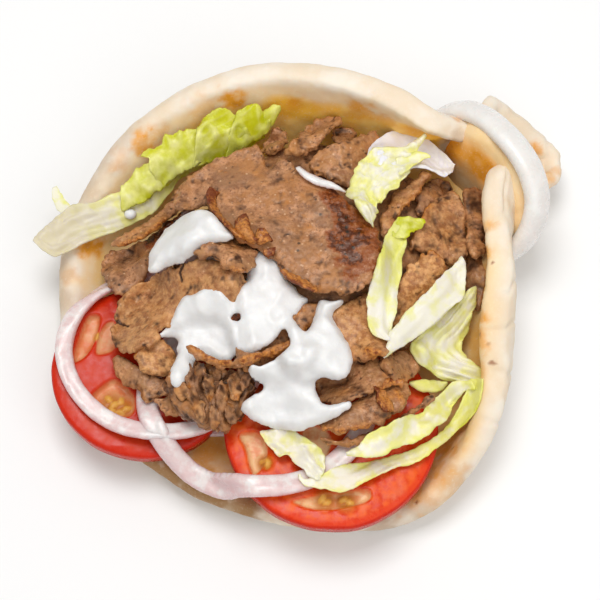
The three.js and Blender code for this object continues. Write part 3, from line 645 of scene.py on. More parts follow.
def make_piece(name, slot, stands_for, points, faces, **shades):
    """A smooth-shaded piece with an attribute for each shade, riding on the sandwich."""
    mesh = new_mesh(name, points * MM, faces)
    for shade, values in shades.items():
        attribute = mesh.attributes.new(shade, "FLOAT", "POINT")
        attribute.data.foreach_set("value", np.full(len(points), values, np.float32))
    mesh.shade_smooth()
    mesh.materials.append(MATERIALS[slot])
    piece = added(name, mesh)
    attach(piece, "root")
    if stands_for:
        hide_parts(*stands_for)
    return {"piece": piece, "points": points, "faces": faces}


# ---------------------------------------------------------------- thin pieces between two edges
LEAF_CELL = 0.55


def along(line, count):
    """Points evenly spaced along a line of points, its corners eased."""
    line = np.asarray(line, float)
    for _ in range(2):
        eased = np.stack([0.75 * line[:-1] + 0.25 * line[1:], 0.25 * line[:-1] + 0.75 * line[1:]], axis=1)
        line = np.concatenate([line[:1], eased.reshape(-1, line.shape[1]), line[-1:]])
    far = run_along(line)
    at = np.linspace(0, far[-1], count)
    return np.stack([np.interp(at, far, line[:, k]) for k in range(line.shape[1])], axis=1)


def run_along(line):
    """How far along a line of points each of them is."""
    return np.concatenate([[0], np.cumsum(np.linalg.norm(np.diff(line, axis=0), axis=1))])


def grid_normals(grid):
    return np.cross(np.gradient(grid, axis=0), np.gradient(grid, axis=1))


def shell(grid, thick):
    """A closed sheet that thick round a grid of points, with its points in two layers."""
    normal = grid_normals(grid)
    normal /= np.maximum(np.linalg.norm(normal, axis=2), TINY)[..., None]
    if normal[..., 2].mean() < 0:
        grid, normal = grid[:, ::-1], -normal[:, ::-1]
    rows, columns = grid.shape[:2]
    corner = np.arange(rows * columns).reshape(rows, columns)
    quads = np.stack([corner[:-1, :-1], corner[1:, :-1], corner[1:, 1:], corner[:-1, 1:]], axis=-1)
    quads = quads.reshape(-1, 4)
    rim = np.concatenate([corner[:, 0], corner[-1, 1:], corner[-2::-1, -1], corner[0, -2:0:-1]])
    after, count = np.roll(rim, -1), rows * columns
    sides = np.column_stack([after, rim, rim + count, after + count])
    points = np.concatenate([(grid + normal * thick / 2).reshape(-1, 3),
                             (grid - normal * thick / 2).reshape(-1, 3)])
    return points, np.concatenate([quads, quads[:, ::-1] + count, sides])


def for_shell(grid, *shades):
    """Shades of a grid's points in the order of its shell's points."""
    turn = -1 if grid_normals(grid)[..., 2].mean() < 0 else 1
    return [np.tile(shade[:, ::turn].ravel(), 2) for shade in shades]


def leaf_grid(solid, one, other, lift=0.0, rise=(0.0, 0.0), arch=0.0):
    """Points laid over a solid between two edges given by pixels from end to end, with the run
    along the leaf, the place across it from 0 to 1, its width and the way across. Edges whose
    pixels have a height are joined as they are."""
    has_heights = len(one[0]) == 3
    first, second = (raised(line) if has_heights else solid.under(line, lift) for line in (one, other))
    span = max(run_along(line)[-1] for line in (first, second))
    rows = int(span / LEAF_CELL) + 2
    first, second = along(first, rows), along(second, rows)
    width = np.linalg.norm(first - second, axis=1)
    columns = int(np.percentile(width, 80) / LEAF_CELL) + 2
    v = np.linspace(0, 1, columns)
    plan = first[:, None] * (1 - v)[None, :, None] + second[:, None] * v[None, :, None]
    if has_heights:
        z = plan[..., 2]
        plan, first, second = plan[..., :2], first[:, :2], second[:, :2]
        width = np.linalg.norm(first - second, axis=1)
    else:
        flat = plan.reshape(-1, 2)
        heights = top_of(solid, flat.min(axis=0) - 2, flat.max(axis=0) + 2, 1.5, 4)
        z = heights(flat).reshape(rows, columns) + lift
    z = z + arch * 4 * v * (1 - v) + (rise[0] * (1 - v) ** 2 + rise[1] * v ** 2)
    run = np.repeat(run_along(0.5 * (first + second))[:, None], columns, axis=1)
    outward = (second - first) / np.maximum(width, 1e-6)[:, None]
    return np.dstack([plan, z]), run, v, width, outward


# ---------------------------------------------------------------- bread
BREAD_VOXEL = 1.0

# Spots seen on the bread: pixel x, pixel y, radius in mm and, but for the specks, amount.
# Toasted spots. Those inside the right wall (pixel x 480 to 488) and the two under the long leaf at (90, 248)
# and (101, 236) are painted shade and shadow instead.
TOAST_AND_SHADE_SPOTS = [(145, 143, 5.5, 0.9), (160, 132, 4, 0.35), (232, 101, 5, 1.0), (240, 112, 4, 0.5),
           (277, 116, 6, 0.4), (295, 103, 4, 0.7), (361, 112, 6, 0.8), (384, 120, 5, 0.55),
           (416, 132, 7, 0.5), (90, 248, 5, 1.1), (101, 236, 4, 0.5), (69, 275, 4, 0.25),
           (120, 160, 5, 0.3), (205, 110, 6, 0.3), (548, 176, 4, 0.5), (556, 172, 3, 0.4),
           (536, 150, 2.5, 0.8), (529, 146, 2, 0.5), (541, 184, 4, 0.4), (484, 290, 3, 0.6),
           (482, 318, 3, 0.8), (482, 345, 3, 0.7), (487, 255, 2.5, 0.6), (488, 225, 2.5, 0.5),
           (480, 332, 3, 0.6), (482, 370, 3, 0.5), (484, 270, 2.5, 0.5), (517, 226, 2, 0.6),
           (516, 245, 2, 0.6), (446, 448, 9, 0.7), (432, 468, 9, 0.65), (412, 488, 8, 0.6),
           (462, 424, 8, 0.6), (468, 400, 8, 0.4), (472, 372, 8, 0.35), (474, 340, 7, 0.4),
           (438, 480, 12, 0.35), (456, 119, 2.2, 0.5), (464, 120, 2.2, 0.5), (205, 452, 8, 0.6),
           (250, 470, 6, 0.5), (216, 470, 6, 0.35)]
# Darker brown patches: painted shade on the underside below the tomatoes, inside the right wall and in the
# crease at the left rim's end; the rest darken the left wall and the lower right.
SHADE_TAN_SPOTS = [(150, 462, 9, 1.0), (170, 478, 9, 1.1), (192, 490, 9, 1.1), (215, 502, 9, 1.1),
          (240, 512, 9, 1.1), (265, 522, 9, 1.0), (295, 530, 9, 0.8), (340, 534, 9, 0.7),
          (380, 530, 9, 0.5), (62, 300, 5, 0.35), (66, 240, 6, 0.5), (130, 445, 8, 0.8), (420, 510, 8, 0.4),
          (452, 478, 8, 0.35), (72, 212, 8, 0.35), (86, 188, 8, 0.35), (104, 164, 8, 0.3),
          (126, 140, 8, 0.25), (62, 270, 6, 0.4), (478, 270, 5, 0.5), (478, 240, 5, 0.5),
          (480, 215, 4, 0.4), (458, 137, 3.5, 0.4)]
SPECKS = [(492, 363, 1.1), (493, 262, 0.5), (480, 307, 0.6), (480, 335, 0.7), (519, 235, 0.6),
          (453, 448, 0.5), (487, 344, 0.4), (417, 502, 0.5)]

# How much the rim bulges inwards: degrees round the middle of the bread, mm.
RIM_BULGE = [(-180, 1.0), (-140, 0.6), (-100, 0.0), (-60, 0.5), (-40, 1.5), (-20, 3.2), (10, 3.6),
             (30, 2.5), (42, 3.5), (52, 5.0), (62, 3.5), (90, 1.5), (140, 1.0), (180, 1.0)]
MIDDLE = np.array([5.0, 5.0, 55.0])
RIM_END = np.array([55.0, 54.0, 43.0])     # where the left rim ends at the neck
# Where the rim sinks under the onion ring at the neck.
SUNK = np.array([60.0, 56.0, 46.0])
SUNK_RADIUS = 11.0
SUNK_BY = 7.0


def spotted(points, tree, spots, ragged=0.0):
    """How much each point is covered by spots seen at pixels of the picture."""
    total = np.zeros(len(points))
    drift = ragged * layered(points, 4, 401) if ragged else 0
    for px, py, radius, amount in spots:
        centre = struck(tree, px, py)
        if centre:
            away = np.linalg.norm(points - centre, axis=1) / radius
            total = np.maximum(total, amount * ramp(1.3 - away + drift, 0, 1))
    return total


def degrees_round(points):
    """The direction from the middle of the bread, in plan."""
    return np.degrees(np.arctan2(points[:, 1] - MIDDLE[1], points[:, 0] - MIDDLE[0]))


def rim_line(points):
    """The highest point of the bread in each direction from its middle."""
    round_it = degrees_round(points)
    rim = []
    for angle in range(-180, 180, 3):
        near = np.flatnonzero(np.abs(round_it - angle) < 3)
        rim.append(points[near[np.argmax(points[near, 2])]])
    return rim


def golden_inside(points, round_it, facing, below):
    """How golden the bread is: most in a band under the rim, on the side that faces its middle."""
    golden = ramp(facing, 0.2, 0.6) * ramp(below + 2.0 * noise(points, 12, 4), 6, 13)
    golden *= 0.75 + 0.25 * ramp(np.abs(round_it - 82), 48, 30)
    golden = np.maximum(golden, 0.38 * ramp(facing, 0.05, 0.5) * ramp(below, 2, 6))
    right = ramp(np.abs(round_it + 26), 52, 34) * ramp(facing, -0.3, 0.65)
    golden = np.maximum(golden, right * (0.36 + 0.2 * noise(points, 10, 6)))
    neck = ramp(points[:, 0], 70, 78) * ramp(points[:, 1], 35, 42)
    return golden * (1 - 0.85 * neck)


def bread_piece():
    points, quads = evened(*cad_mesh("bread"), BREAD_VOXEL, levels=1)
    points = relaxed(points, quads, 8)
    blunt = relaxed(points, quads, 90, (0.5,))
    points = points + np.minimum(1.3 * nearness(points, RIM_END, 11)[:, None], 1) * (blunt - points)
    normal = normals(points, quads)
    to_middle = (MIDDLE - points) / np.linalg.norm(MIDDLE - points, axis=1)[:, None]
    facing = np.einsum("ij,ij->i", normal, to_middle)
    below = np.min([np.linalg.norm(points - place, axis=1) for place in rim_line(points)], axis=0)
    round_it = degrees_round(points)
    golden = golden_inside(points, round_it, facing, below)
    bulge = np.interp(round_it, *np.transpose(RIM_BULGE)) * bell(below, 9) * ramp(facing, -0.3, 0.5)
    creased = ramp(np.abs(noise(points * [1, 1, 0.5], 16, 5)), 0.1, 0.0) * ramp(points[:, 0], 55, 70)
    points = points + to_middle * [1, 1, 0.2] * bulge[:, None]
    lumpy = 0.5 * noise(points, 14, 1) + 0.25 * noise(points, 5, 2) - 0.7 * creased
    points = points + normal * lumpy[:, None]
    points[:, 2] -= SUNK_BY * nearness(points, SUNK, SUNK_RADIUS)
    points[:, 2] = np.maximum(points[:, 2], 0)         # it stands on the floor
    tree = tree_of(points, quads)
    toast = spotted(points, tree, TOAST_AND_SHADE_SPOTS, 0.6) + 0.35 * golden * ramp(noise(points, 11, 3), 0.45, 0.9)
    make_piece("bread_round", "bread", ["bread"], points, quads, golden=golden, toast=toast,
               tan=spotted(points, tree, SHADE_TAN_SPOTS, 0.4),
               speck=spotted(points, tree, [(*spot, 1.0) for spot in SPECKS]))


# The bread folded between the two rims at the neck: rows of pixel x, pixel y, height in mm.
NECK_FOLD = [
    [(464, 116, 33), (478, 114, 38), (495, 120, 41), (511, 137, 43), (525, 160, 43), (531, 184, 40),
     (533, 206, 36), (531, 232, 31), (524, 250, 28)],
    [(459, 124, 35), (471, 128, 42), (484, 134, 45), (499, 147, 44), (510, 162, 43), (517, 180, 40),
     (521, 204, 36), (522, 232, 30), (518, 250, 27)],
    [(456, 136, 33), (468, 141, 39), (480, 148, 40), (493, 160, 38), (504, 172, 38), (511, 188, 37),
     (515, 210, 33), (517, 234, 28), (514, 252, 25)],
    [(449, 147, 27), (459, 157, 30), (471, 167, 30), (484, 179, 30), (495, 192, 33), (503, 206, 34),
     (508, 220, 30), (511, 238, 26), (510, 254, 24)],
    [(444, 159, 20), (455, 170, 22), (468, 183, 20), (479, 196, 21), (489, 210, 26), (496, 222, 30),
     (500, 232, 28), (506, 244, 25), (507, 256, 22)],
    [(445, 171, 13), (455, 183, 15), (466, 195, 13), (477, 207, 15), (487, 221, 22), (492, 232, 27),
     (496, 240, 26), (502, 248, 24), (504, 258, 20)],
]
FOLD_ROWS, FOLD_COLUMNS = 60, 90
FOLD_THICK = 2.4


def fold_piece():
    rows = [along(raised(row), FOLD_COLUMNS) for row in NECK_FOLD]
    grid = np.stack([along([row[k] for row in rows], FOLD_ROWS) for k in range(FOLD_COLUMNS)], axis=1)
    flat = grid.reshape(-1, 3)
    grid[..., 2] += (0.8 * noise(flat, 7, 31) + 0.4 * noise(flat, 3, 32)).reshape(grid.shape[:2])
    share = np.linspace(0, 1, FOLD_ROWS)[:, None] * np.ones((1, FOLD_COLUMNS))
    over = ramp(noise(flat, 9, 33), -0.7, 0.5).reshape(share.shape)
    aside = np.linspace(0, 1.35, FOLD_COLUMNS)
    toast = ramp(share, 0.24, 0.4) * ramp(share, 0.8, 0.5) * (0.6 + 0.6 * over) * ramp(aside, 0.75, 0.55)
    # tan is painted shade on the fold's left side, where it passes under the rim's end, and darkens its lower
    # rows to brown.
    tan = (0.6 * ramp(share, 0.45, 0.8) + 0.7 * ramp(share, 0.28, 0.5) * ramp(aside, 0.35, 0.1)
           + 0.35 * ramp(share, 0.1, 0.3) * ramp(aside, 0.22, 0.12))
    toast, tan = for_shell(grid, toast, tan)
    make_piece("bread_neck_fold", "bread", [], *shell(grid, FOLD_THICK), golden=0.5,
               toast=0.95 * toast, tan=0.55 * tan)


# ---------------------------------------------------------------- meat
MEAT_VOXEL = 0.5
MEAT_STEP = 0.6                # the plan grid a slice starts from
MARGIN = 4.0                   # room round an outline for torn edges
EDGE_WIDTH = 0.9               # a slice's rounded edge
EDGE_DROP = 0.42               # how far the top drops there, as a share of the thickness
LIP_THICK = 1.0


def crumbs(points, rim, seed, pits):
    """How far a slice's surface stands out for its crumb, its pits and its splits."""
    relief = (0.4 * noise(points, 5.5, seed + 4) + 0.28 * noise(points, 2.3, seed + 5)
              + 0.22 * noise(points, 1.2, seed + 6) + rim * 0.45 * noise(points, 1.9, seed + 7))
    near, gap = pebbles(points, 2.6, seed)
    holes = pits * ramp(near, 0.36, 0.05) * ramp(noise(points, 8, seed + 8), -0.1, 0.35)
    split = ramp(np.abs(noise(points * [1, 0.7, 1], 5, seed + 13)), 0.10, 0.0)
    split *= ramp(noise(points, 8, seed + 14) + 0.9 * rim, 0.15, 0.5)
    return relief + (0.08 * ramp(gap, 0.0, 0.3) - 0.8 * holes - 0.3 * split)


def shredded(points, seed):
    """How far the upright shreds of crumbly meat stand out."""
    upright = points * [1.0, 0.3, 0.5] + 1.2 * noise(points, 7, seed + 23)[:, None]
    return ramp(noise(upright, 3.4, seed + 24), -0.35, 0.45) + 0.4 * noise(upright, 1.6, seed + 25) - 0.6


def meat_piece(solid_name, pixels=(), crisp=(), char=(), lift=(), cuts=(), thick=3.0, torn=1.0,
               rough=0.8, browned=0.5, tone=0.25, dark=0.0, shreds=0.0, pits=0.7, voxel=MEAT_VOXEL):
    """A slice of meat. pixels is its outline, crisp the lines along which it is crisp and curls up,
    cuts the lines where it is split, char and lift are (pixel x, pixel y, radius, amount), and the
    rest are amounts."""
    seed = seed_of(solid_name) * 7
    solid = Solid(solid_name)
    outline = rounded_outline(solid.under(pixels)[::-1] if len(pixels) else solid.outline())
    x, y = outline.T
    if np.sum(x * np.roll(y, -1) - np.roll(x, -1) * y) < 0:
        outline = outline[::-1]
    low, high = outline.min(axis=0) - MARGIN, outline.max(axis=0) + MARGIN
    height = top_of(solid, low, high)
    crisp_lines = [solid.under(line) for line in crisp]
    bumps = solid.placed(lift)

    def deep(plan):
        at = flattened(plan, seed * 0.37)
        tears = 1.0 * noise(at, 7, seed) + 0.8 * noise(at, 2.8, seed + 1) + 0.55 * noise(at, 1.4, seed + 2)
        notch = ramp(np.abs(noise(at, 6, seed + 21)), 0.16, 0.0) * ramp(noise(at, 9, seed + 22), -0.1, 0.3)
        return inside(plan, outline) + torn * (tears - 1.3 * notch)

    def top(plan):
        z = height(plan) + 0.7 * noise(flattened(plan), 13, seed + 3)
        for x, y, radius, amount in bumps:
            z += amount * nearness(plan, (x, y), radius)
        if crisp_lines:
            z += 1.5 * bell(from_lines(plan, crisp_lines), 2.2)
        return z

    def drop(depth):
        return EDGE_DROP * thick * rounding(depth, EDGE_WIDTH)

    def over(plan, depth):
        return top(plan) - drop(depth)

    def below(plan, depth):
        return top(plan) - thick + drop(depth)

    points, quads = evened(*sheet(low, high, MEAT_STEP, deep, over, below), voxel)
    points = relaxed(points, quads, 2)
    rim = bell(np.maximum(deep(points), 0), 2.0)
    relief = crumbs(points, rim, seed, pits)
    # Cuts sink the surface along their lines, and through the relief shade they are painted dark as shade in
    # the split.
    if cuts:
        away = from_lines(points, [solid.under(line) for line in cuts]) + 0.5 * noise(points, 2.5, seed + 28)
        relief -= 1.0 * bell(away, 0.4)
    upright = shreds * shredded(points, seed) if shreds else 0
    points = points + normals(points, quads) * (rough * relief + upright)[:, None]

    patchy = noise(points, 8, seed + 9) + 0.5 * noise(points, 2, seed + 10)
    crusty = 0.75 * browned * rim * ramp(patchy, -0.1, 0.6)
    if crisp_lines:
        at_line = bell(from_lines(points, crisp_lines), 1.9)
        crusty = np.maximum(crusty, at_line * (0.7 + 0.4 * noise(points, 2.5, seed + 11)))
    charred = np.zeros(len(points))
    for x, y, radius, amount in solid.placed(char):
        away = np.hypot(points[:, 0] - x, points[:, 1] - y) / radius
        blotch = ramp(1.25 - away + 0.45 * layered(points, 4, seed + 12), 0, 0.9)
        charred = np.maximum(charred, 1.35 * amount * blotch)
    if char:
        blistered = 0.3 * noise(points, 2.4, seed + 26) + 0.12 * noise(points, 1.1, seed + 27)
        points = points + normals(points, quads) * (charred * blistered)[:, None]
    # The relief shade carries painted shade: it is lower in pits, splits and cuts and between shreds, and a
    # slice's dark (dark) lowers it all over.
    relief = np.clip(relief + 0.55 + 0.35 * upright, 0, 1) * (1 - dark)
    return make_piece("slice_" + solid_name.removeprefix("meat_"), "meat", [solid_name], points, quads,
                      relief=relief, crisp=np.clip(crusty, 0, 1), char=charred, tone=tone)


def lip_piece(name, solid_name, one, other, rise, lift=0.8, crisp=0.62, arch=1.0, tip=0.4):
    """A thin crisp rim curling up from a slice, crisper towards its high edge and its first end."""
    grid, run, v, _, _ = leaf_grid(Solid(solid_name), one, other, lift, rise, arch)
    flat = grid.reshape(-1, 3)
    seed = seed_of(name)
    grid += (0.35 * noise(flat, 2.2, seed) + 0.25 * noise(flat, 1.1, seed + 1)).reshape(run.shape)[..., None]
    burnt = crisp + 0.3 * noise(flat, 2.5, seed + 2).reshape(run.shape)
    burnt += 0.35 * (1 - v if rise[0] > rise[1] else v)[None] ** 2 + tip * ramp(run / run.max(), 0.35, 0.0)
    make_piece(name, "meat", [], *shell(grid, LIP_THICK), relief=0.6,
               crisp=for_shell(grid, np.clip(burnt, 0, 1))[0], char=0.0, tone=0.5)


# The crisp rims, each between two edges given by pixels.
LIPS = {
    "rim_hero_left": dict(solid_name="meat_hero", rise=(3.0, 0.0),
        one=[(210, 190), (206, 196), (208, 204), (211, 211), (217, 219), (225, 228), (234, 235),
            (243, 242)],
        other=[(220, 192), (216, 197), (215, 204), (218, 211), (223, 218), (230, 226), (238, 233),
            (246, 239)]),
    "rim_hero_curl": dict(solid_name="meat_hero", rise=(1.2, 3.4), arch=2.2, tip=0.6,
        one=[(236, 223), (236, 230), (240, 237), (247, 243), (254, 245)],
        other=[(246, 218), (249, 226), (251, 234), (255, 240), (259, 243)]),
    "rim_hero_small": dict(solid_name="meat_hero", rise=(0.6, 2.6), arch=1.6, tip=0.3,
        one=[(258, 231), (255, 237), (256, 243), (262, 245)],
        other=[(264, 231), (267, 236), (270, 240), (273, 244)]),
    "rim_hero_tip": dict(solid_name="meat_hero", rise=(1.0, 1.2), crisp=0.95,
        one=[(262, 252), (265, 257), (269, 259)], other=[(275, 249), (275, 254), (272, 258)]),
    "rim_hero_low": dict(solid_name="meat_hero", rise=(2.8, 0.2), tip=0.1, arch=1.6,
        one=[(280, 274), (286, 281), (295, 287), (306, 292), (317, 295)],
        other=[(286, 271), (293, 275), (302, 279), (312, 286), (318, 293)]),
    "rim_front_low": dict(solid_name="meat_front_low", rise=(2.4, 0.6), lift=1.6, tip=0.2,
        one=[(372, 388), (377, 394), (376, 402), (381, 409), (386, 414)],
        other=[(380, 388), (385, 393), (387, 400), (392, 405), (394, 411)]),
    "rim_front_top": dict(solid_name="meat_front_low", rise=(1.8, 0.6), lift=1.6, tip=0.2,
        one=[(376, 386), (386, 381), (396, 378), (404, 382)],
        other=[(380, 392), (389, 387), (397, 385), (402, 389)]),
}

# Upright shreds in the crumbly heap: pixel x, pixel y, length and width in mm, turn and tilt in
# degrees, height over the heap in mm.
SHREDS = [(188, 374, 8, 3.6, 98, 32, 1.0), (199, 372, 7, 4.4, 84, -28, 0.8),
          (209, 388, 10, 4.2, 97, 38, 1.4), (216, 374, 7, 4.0, 88, -24, 0.8),
          (222, 396, 10, 4.4, 82, 40, 1.4), (235, 386, 9, 4.6, 92, 30, 1.2),
          (246, 378, 7, 4.2, 78, -35, 1.0), (214, 416, 8, 3.6, 86, 36, 1.0),
          (200, 410, 7, 4.4, 104, -30, 0.9), (230, 412, 7, 4.0, 96, 26, 0.9),
          (193, 394, 9, 4.2, 108, 36, 1.1), (180, 388, 8, 4.4, 118, -26, 0.8)]
SHRED_CELL = 0.45
SHRED_THICK = 1.1


def shreds_piece():
    """The upright shreds of the crumbly heap as one piece."""
    solid = Solid("meat_crumbly")
    parts, tone = [], []
    for k, (px, py, length, width, turn, tilt, lift) in enumerate(SHREDS):
        x, y = solid.under([(px, py)], lift)[0]
        rows, columns = int(length / SHRED_CELL), int(width / SHRED_CELL) + 2
        u = np.linspace(-0.5, 0.5, rows)[:, None] * np.ones((1, columns))
        v = np.linspace(-0.5, 0.5, columns)[None] * np.ones((rows, 1))
        at = np.column_stack([u.ravel() * length, v.ravel() * width, np.full(u.size, 9.0 * k)])
        ragged = (1.3 * noise(at, 3.0, 51) + 0.8 * noise(at, 1.2, 52)).reshape(u.shape)
        narrow = width * (1 - 0.45 * np.abs(2 * u) ** 4)
        run, across = u * length + 0.8 * ragged, v * narrow + 0.7 * ragged * np.abs(2 * v)
        lean, spin = math.radians(tilt), math.radians(turn)
        side, up = across * math.cos(lean), across * math.sin(lean)
        up = up + 0.6 * noise(at, 4, 53).reshape(u.shape) - 1.2 * (2 * u) ** 2
        grid = np.dstack([x + run * math.cos(spin) - side * math.sin(spin),
                          y + run * math.sin(spin) + side * math.cos(spin),
                          solid.height(x, y) + lift + up])
        some, faces = shell(grid, SHRED_THICK)
        some = relaxed(some, faces, 1)
        parts.append((some + (0.3 * noise(some, 1.8, 54) + 0.2 * noise(some, 0.9, 57))[:, None], faces))
        tone.append(np.full(len(some), 0.05 + 0.4 * (k % 3) / 2))
    points, quads = joined(parts)
    return make_piece("meat_shreds", "meat", [], points, quads,
                      relief=np.clip(0.36 + 0.45 * noise(points, 2, 55), 0, 1),
                      crisp=ramp(noise(points, 3, 56), 0.1, 0.6) * 0.6, char=0.0, tone=np.concatenate(tone))


# The slices by their CAD nodes, with what meat_piece says for each.
SLICES = {
    "meat_hero": dict(thick=2.8, torn=0.8, tone=0.1, rough=0.8, pits=0.2,
        pixels=[(174, 203), (176, 187), (194, 171), (212, 160), (242, 146), (259, 142), (265, 164),
            (271, 168), (279, 157), (290, 158), (300, 171), (322, 179), (341, 193), (359, 211), (376, 226),
            (383, 246), (380, 262), (369, 281), (350, 295), (332, 293), (318, 292), (300, 284), (282, 274),
            (276, 262), (262, 250), (250, 243), (236, 236), (224, 228), (214, 216), (208, 207), (192, 209),
            (180, 211)],
        char=[(329, 197, 4.0, 0.5), (338, 207, 5.0, 0.6), (345, 220, 5.0, 0.7), (336, 238, 4.0, 0.55),
            (343, 244, 5.0, 0.75), (350, 258, 5.0, 0.7), (355, 236, 6.0, 0.7), (358, 218, 5.5, 0.45),
            (364, 230, 6.0, 0.45), (373, 244, 6.0, 0.42), (352, 272, 4.0, 0.4), (366, 262, 5.0, 0.3),
            (345, 228, 2.0, 1.0), (349, 250, 2.0, 1.0), (341, 214, 1.5, 0.95)],
        lift=[(211, 196, 4, 1.5), (243, 228, 4, 1.0), (372, 255, 10, 1.0)]),
    "meat_left": dict(torn=1.0, browned=0.35, tone=0.55, rough=0.6, pits=0.5,
        pixels=[(110, 325), (116, 303), (130, 288), (152, 272), (183, 259), (205, 256), (226, 262),
            (248, 276), (252, 300), (240, 325), (200, 320), (176, 325), (161, 330), (157, 341), (140, 349),
            (121, 355), (112, 345)], char=[(237, 316, 2.6, 1.3)],
        cuts=[[(182, 256), (183, 266), (179, 274), (182, 280)], [(106, 322), (118, 320), (128, 326)]]),
    "meat_knob": dict(pixels=[(191, 250), (204, 240), (229, 237), (252, 245), (256, 262), (246, 275),
            (226, 270), (212, 258), (195, 258)], crisp=[[(232, 272), (246, 274)]]),
    "meat_thin_edge": dict(thick=2.4, torn=0.5,
        pixels=[(108, 243), (120, 236), (136, 227), (156, 215), (168, 200), (180, 184), (188, 196),
            (176, 214), (158, 229), (142, 240), (121, 247)], crisp=[[(121, 247), (142, 240), (165, 222)]]),
    # Its char spots at the upper right are painted shadow: they darken the deep gap between this slice and
    # the left sauce.
    "meat_left_outer": dict(tone=0.1,
        pixels=[(99, 257), (112, 248), (128, 244), (146, 238), (164, 222), (186, 206), (196, 212),
            (176, 228), (158, 244), (152, 270), (126, 296), (112, 294), (103, 278)],
        char=[(156, 236, 6, 0.8), (174, 218, 8, 1.0), (190, 208, 6, 0.9)]),
    "meat_back_left": dict(thick=3.2,
        pixels=[(283, 152), (291, 140), (312, 124), (331, 113), (345, 118), (332, 131), (318, 146),
            (300, 156)]),
    "meat_knob_back": dict(pixels=[(262, 152), (264, 136), (274, 126), (285, 128), (288, 140), (282, 152)]),
    "meat_back": dict(pixels=[(306, 164), (318, 150), (330, 142), (348, 136), (372, 130), (380, 134),
            (374, 150), (366, 165), (356, 187), (340, 184), (320, 176)]),
    "meat_upright_right": dict(tone=0.55, thick=3.0,
        pixels=[(426, 170), (432, 176), (425, 187), (414, 197), (404, 209), (396, 223), (386, 238),
            (377, 228), (384, 208), (398, 190), (410, 178)], crisp=[[(424, 190), (408, 206), (392, 232)]]),
    "meat_right_back": dict(tone=0.3, dark=0.4, rough=0.6, pits=0.2,
        pixels=[(462, 186), (474, 184), (484, 192), (487, 215), (486, 250), (478, 264), (468, 254),
            (466, 215)]),
    "meat_right": dict(tone=0.52, rough=0.6, pits=0.2, dark=0.3,
        pixels=[(453, 187), (459, 191), (466, 204), (468, 216), (467, 232), (470, 247), (464, 259),
            (446, 263), (436, 257), (424, 253), (409, 248), (407, 238), (416, 222), (424, 212), (433, 199),
            (443, 192)], crisp=[[(409, 236), (418, 222), (428, 206)]]),
    "meat_centre_right": dict(tone=0.95, rough=0.6, pits=0.3,
        pixels=[(400, 275), (408, 262), (421, 252), (432, 248), (448, 264), (444, 276), (430, 292),
            (418, 306), (404, 324), (392, 338), (392, 306)], crisp=[[(421, 253), (432, 250), (444, 262)]]),
    "meat_front_centre": dict(tone=0.6,
        pixels=[(318, 318), (330, 306), (348, 298), (368, 290), (380, 300), (390, 336), (398, 352),
            (380, 362), (356, 362), (330, 350)], crisp=[[(366, 352), (384, 356)]]),
    "meat_front": dict(pixels=[(308, 372), (330, 362), (350, 352), (372, 352), (388, 362), (390, 378),
            (368, 394), (340, 404), (318, 402)]),
    "meat_front_low": dict(pixels=[(314, 418), (332, 408), (352, 404), (376, 388), (394, 376), (408, 380),
            (412, 392), (402, 412), (382, 424), (352, 434), (326, 432)],
        crisp=[[(378, 386), (384, 398), (396, 394), (402, 402)], [(318, 430), (345, 433), (372, 428)]]),
    "meat_under_front": dict(thick=3.0,
        pixels=[(318, 436), (345, 440), (380, 428), (410, 408), (432, 392), (436, 398), (416, 414),
            (388, 434), (352, 446), (328, 444)]),
    "meat_small_front": dict(pixels=[(378, 360), (392, 350), (410, 350), (422, 366), (414, 378), (398, 378),
            (384, 374)]),
    "meat_block_left": dict(tone=0.8, rough=0.45, dark=0.15, torn=0.5, pits=0.2,
        pixels=[(131, 357), (142, 344), (160, 336), (176, 352), (180, 366), (168, 376), (150, 374),
            (138, 368)], crisp=[[(131, 357), (142, 345), (160, 337)]]),
    "meat_low_left": dict(torn=0.6, rough=0.8,
        pixels=[(112, 354), (124, 356), (140, 366), (160, 376), (180, 388), (176, 396), (160, 396),
            (150, 402), (142, 398), (140, 390), (120, 384), (114, 370)]),
    "meat_crumbly_low": dict(torn=1.3, shreds=0.8,
        pixels=[(153, 400), (168, 394), (190, 396), (214, 410), (230, 424), (214, 430), (196, 426),
            (176, 414), (162, 414)]),
    "meat_crumbly": dict(torn=1.1, thick=6.5, tone=0.15, shreds=1.5, pits=0.0, dark=0.45,
        pixels=[(158, 384), (176, 366), (196, 356), (230, 366), (258, 380), (248, 400), (240, 420),
            (222, 430), (204, 424), (186, 416), (170, 402)]),
    "meat_middle": dict(),
    "meat_crisp_bit": dict(browned=1.0,
        pixels=[(287, 314), (300, 305), (318, 302), (326, 308), (318, 322), (304, 336), (290, 328)]),
    "meat_crisp_strip": dict(thick=2.6, browned=0.9, torn=0.7,
        pixels=[(184, 344), (196, 346), (213, 358), (228, 361), (246, 354), (272, 346), (300, 334),
            (306, 340), (286, 352), (262, 360), (240, 370), (222, 372), (204, 364), (190, 354)],
        crisp=[[(186, 346), (205, 357), (226, 364)], [(244, 362), (262, 356), (284, 348), (300, 339)]]),
    "meat_edge_back": dict(pixels=[(330, 132), (344, 124), (356, 130), (352, 142), (338, 146)]),
    "meat_dark_right": dict(tone=0.2, dark=0.3,
        pixels=[(426, 181), (440, 175), (453, 181), (455, 192), (442, 200), (430, 212), (416, 216),
            (414, 200)]),
    "meat_right_wall": dict(tone=0.4, dark=0.45, rough=0.6, pits=0.2,
        pixels=[(470, 236), (486, 232), (487, 262), (486, 290), (479, 312), (470, 304), (462, 288),
            (464, 262)]),
    "meat_core": dict(rough=1.5, voxel=1.1, dark=0.3),
}


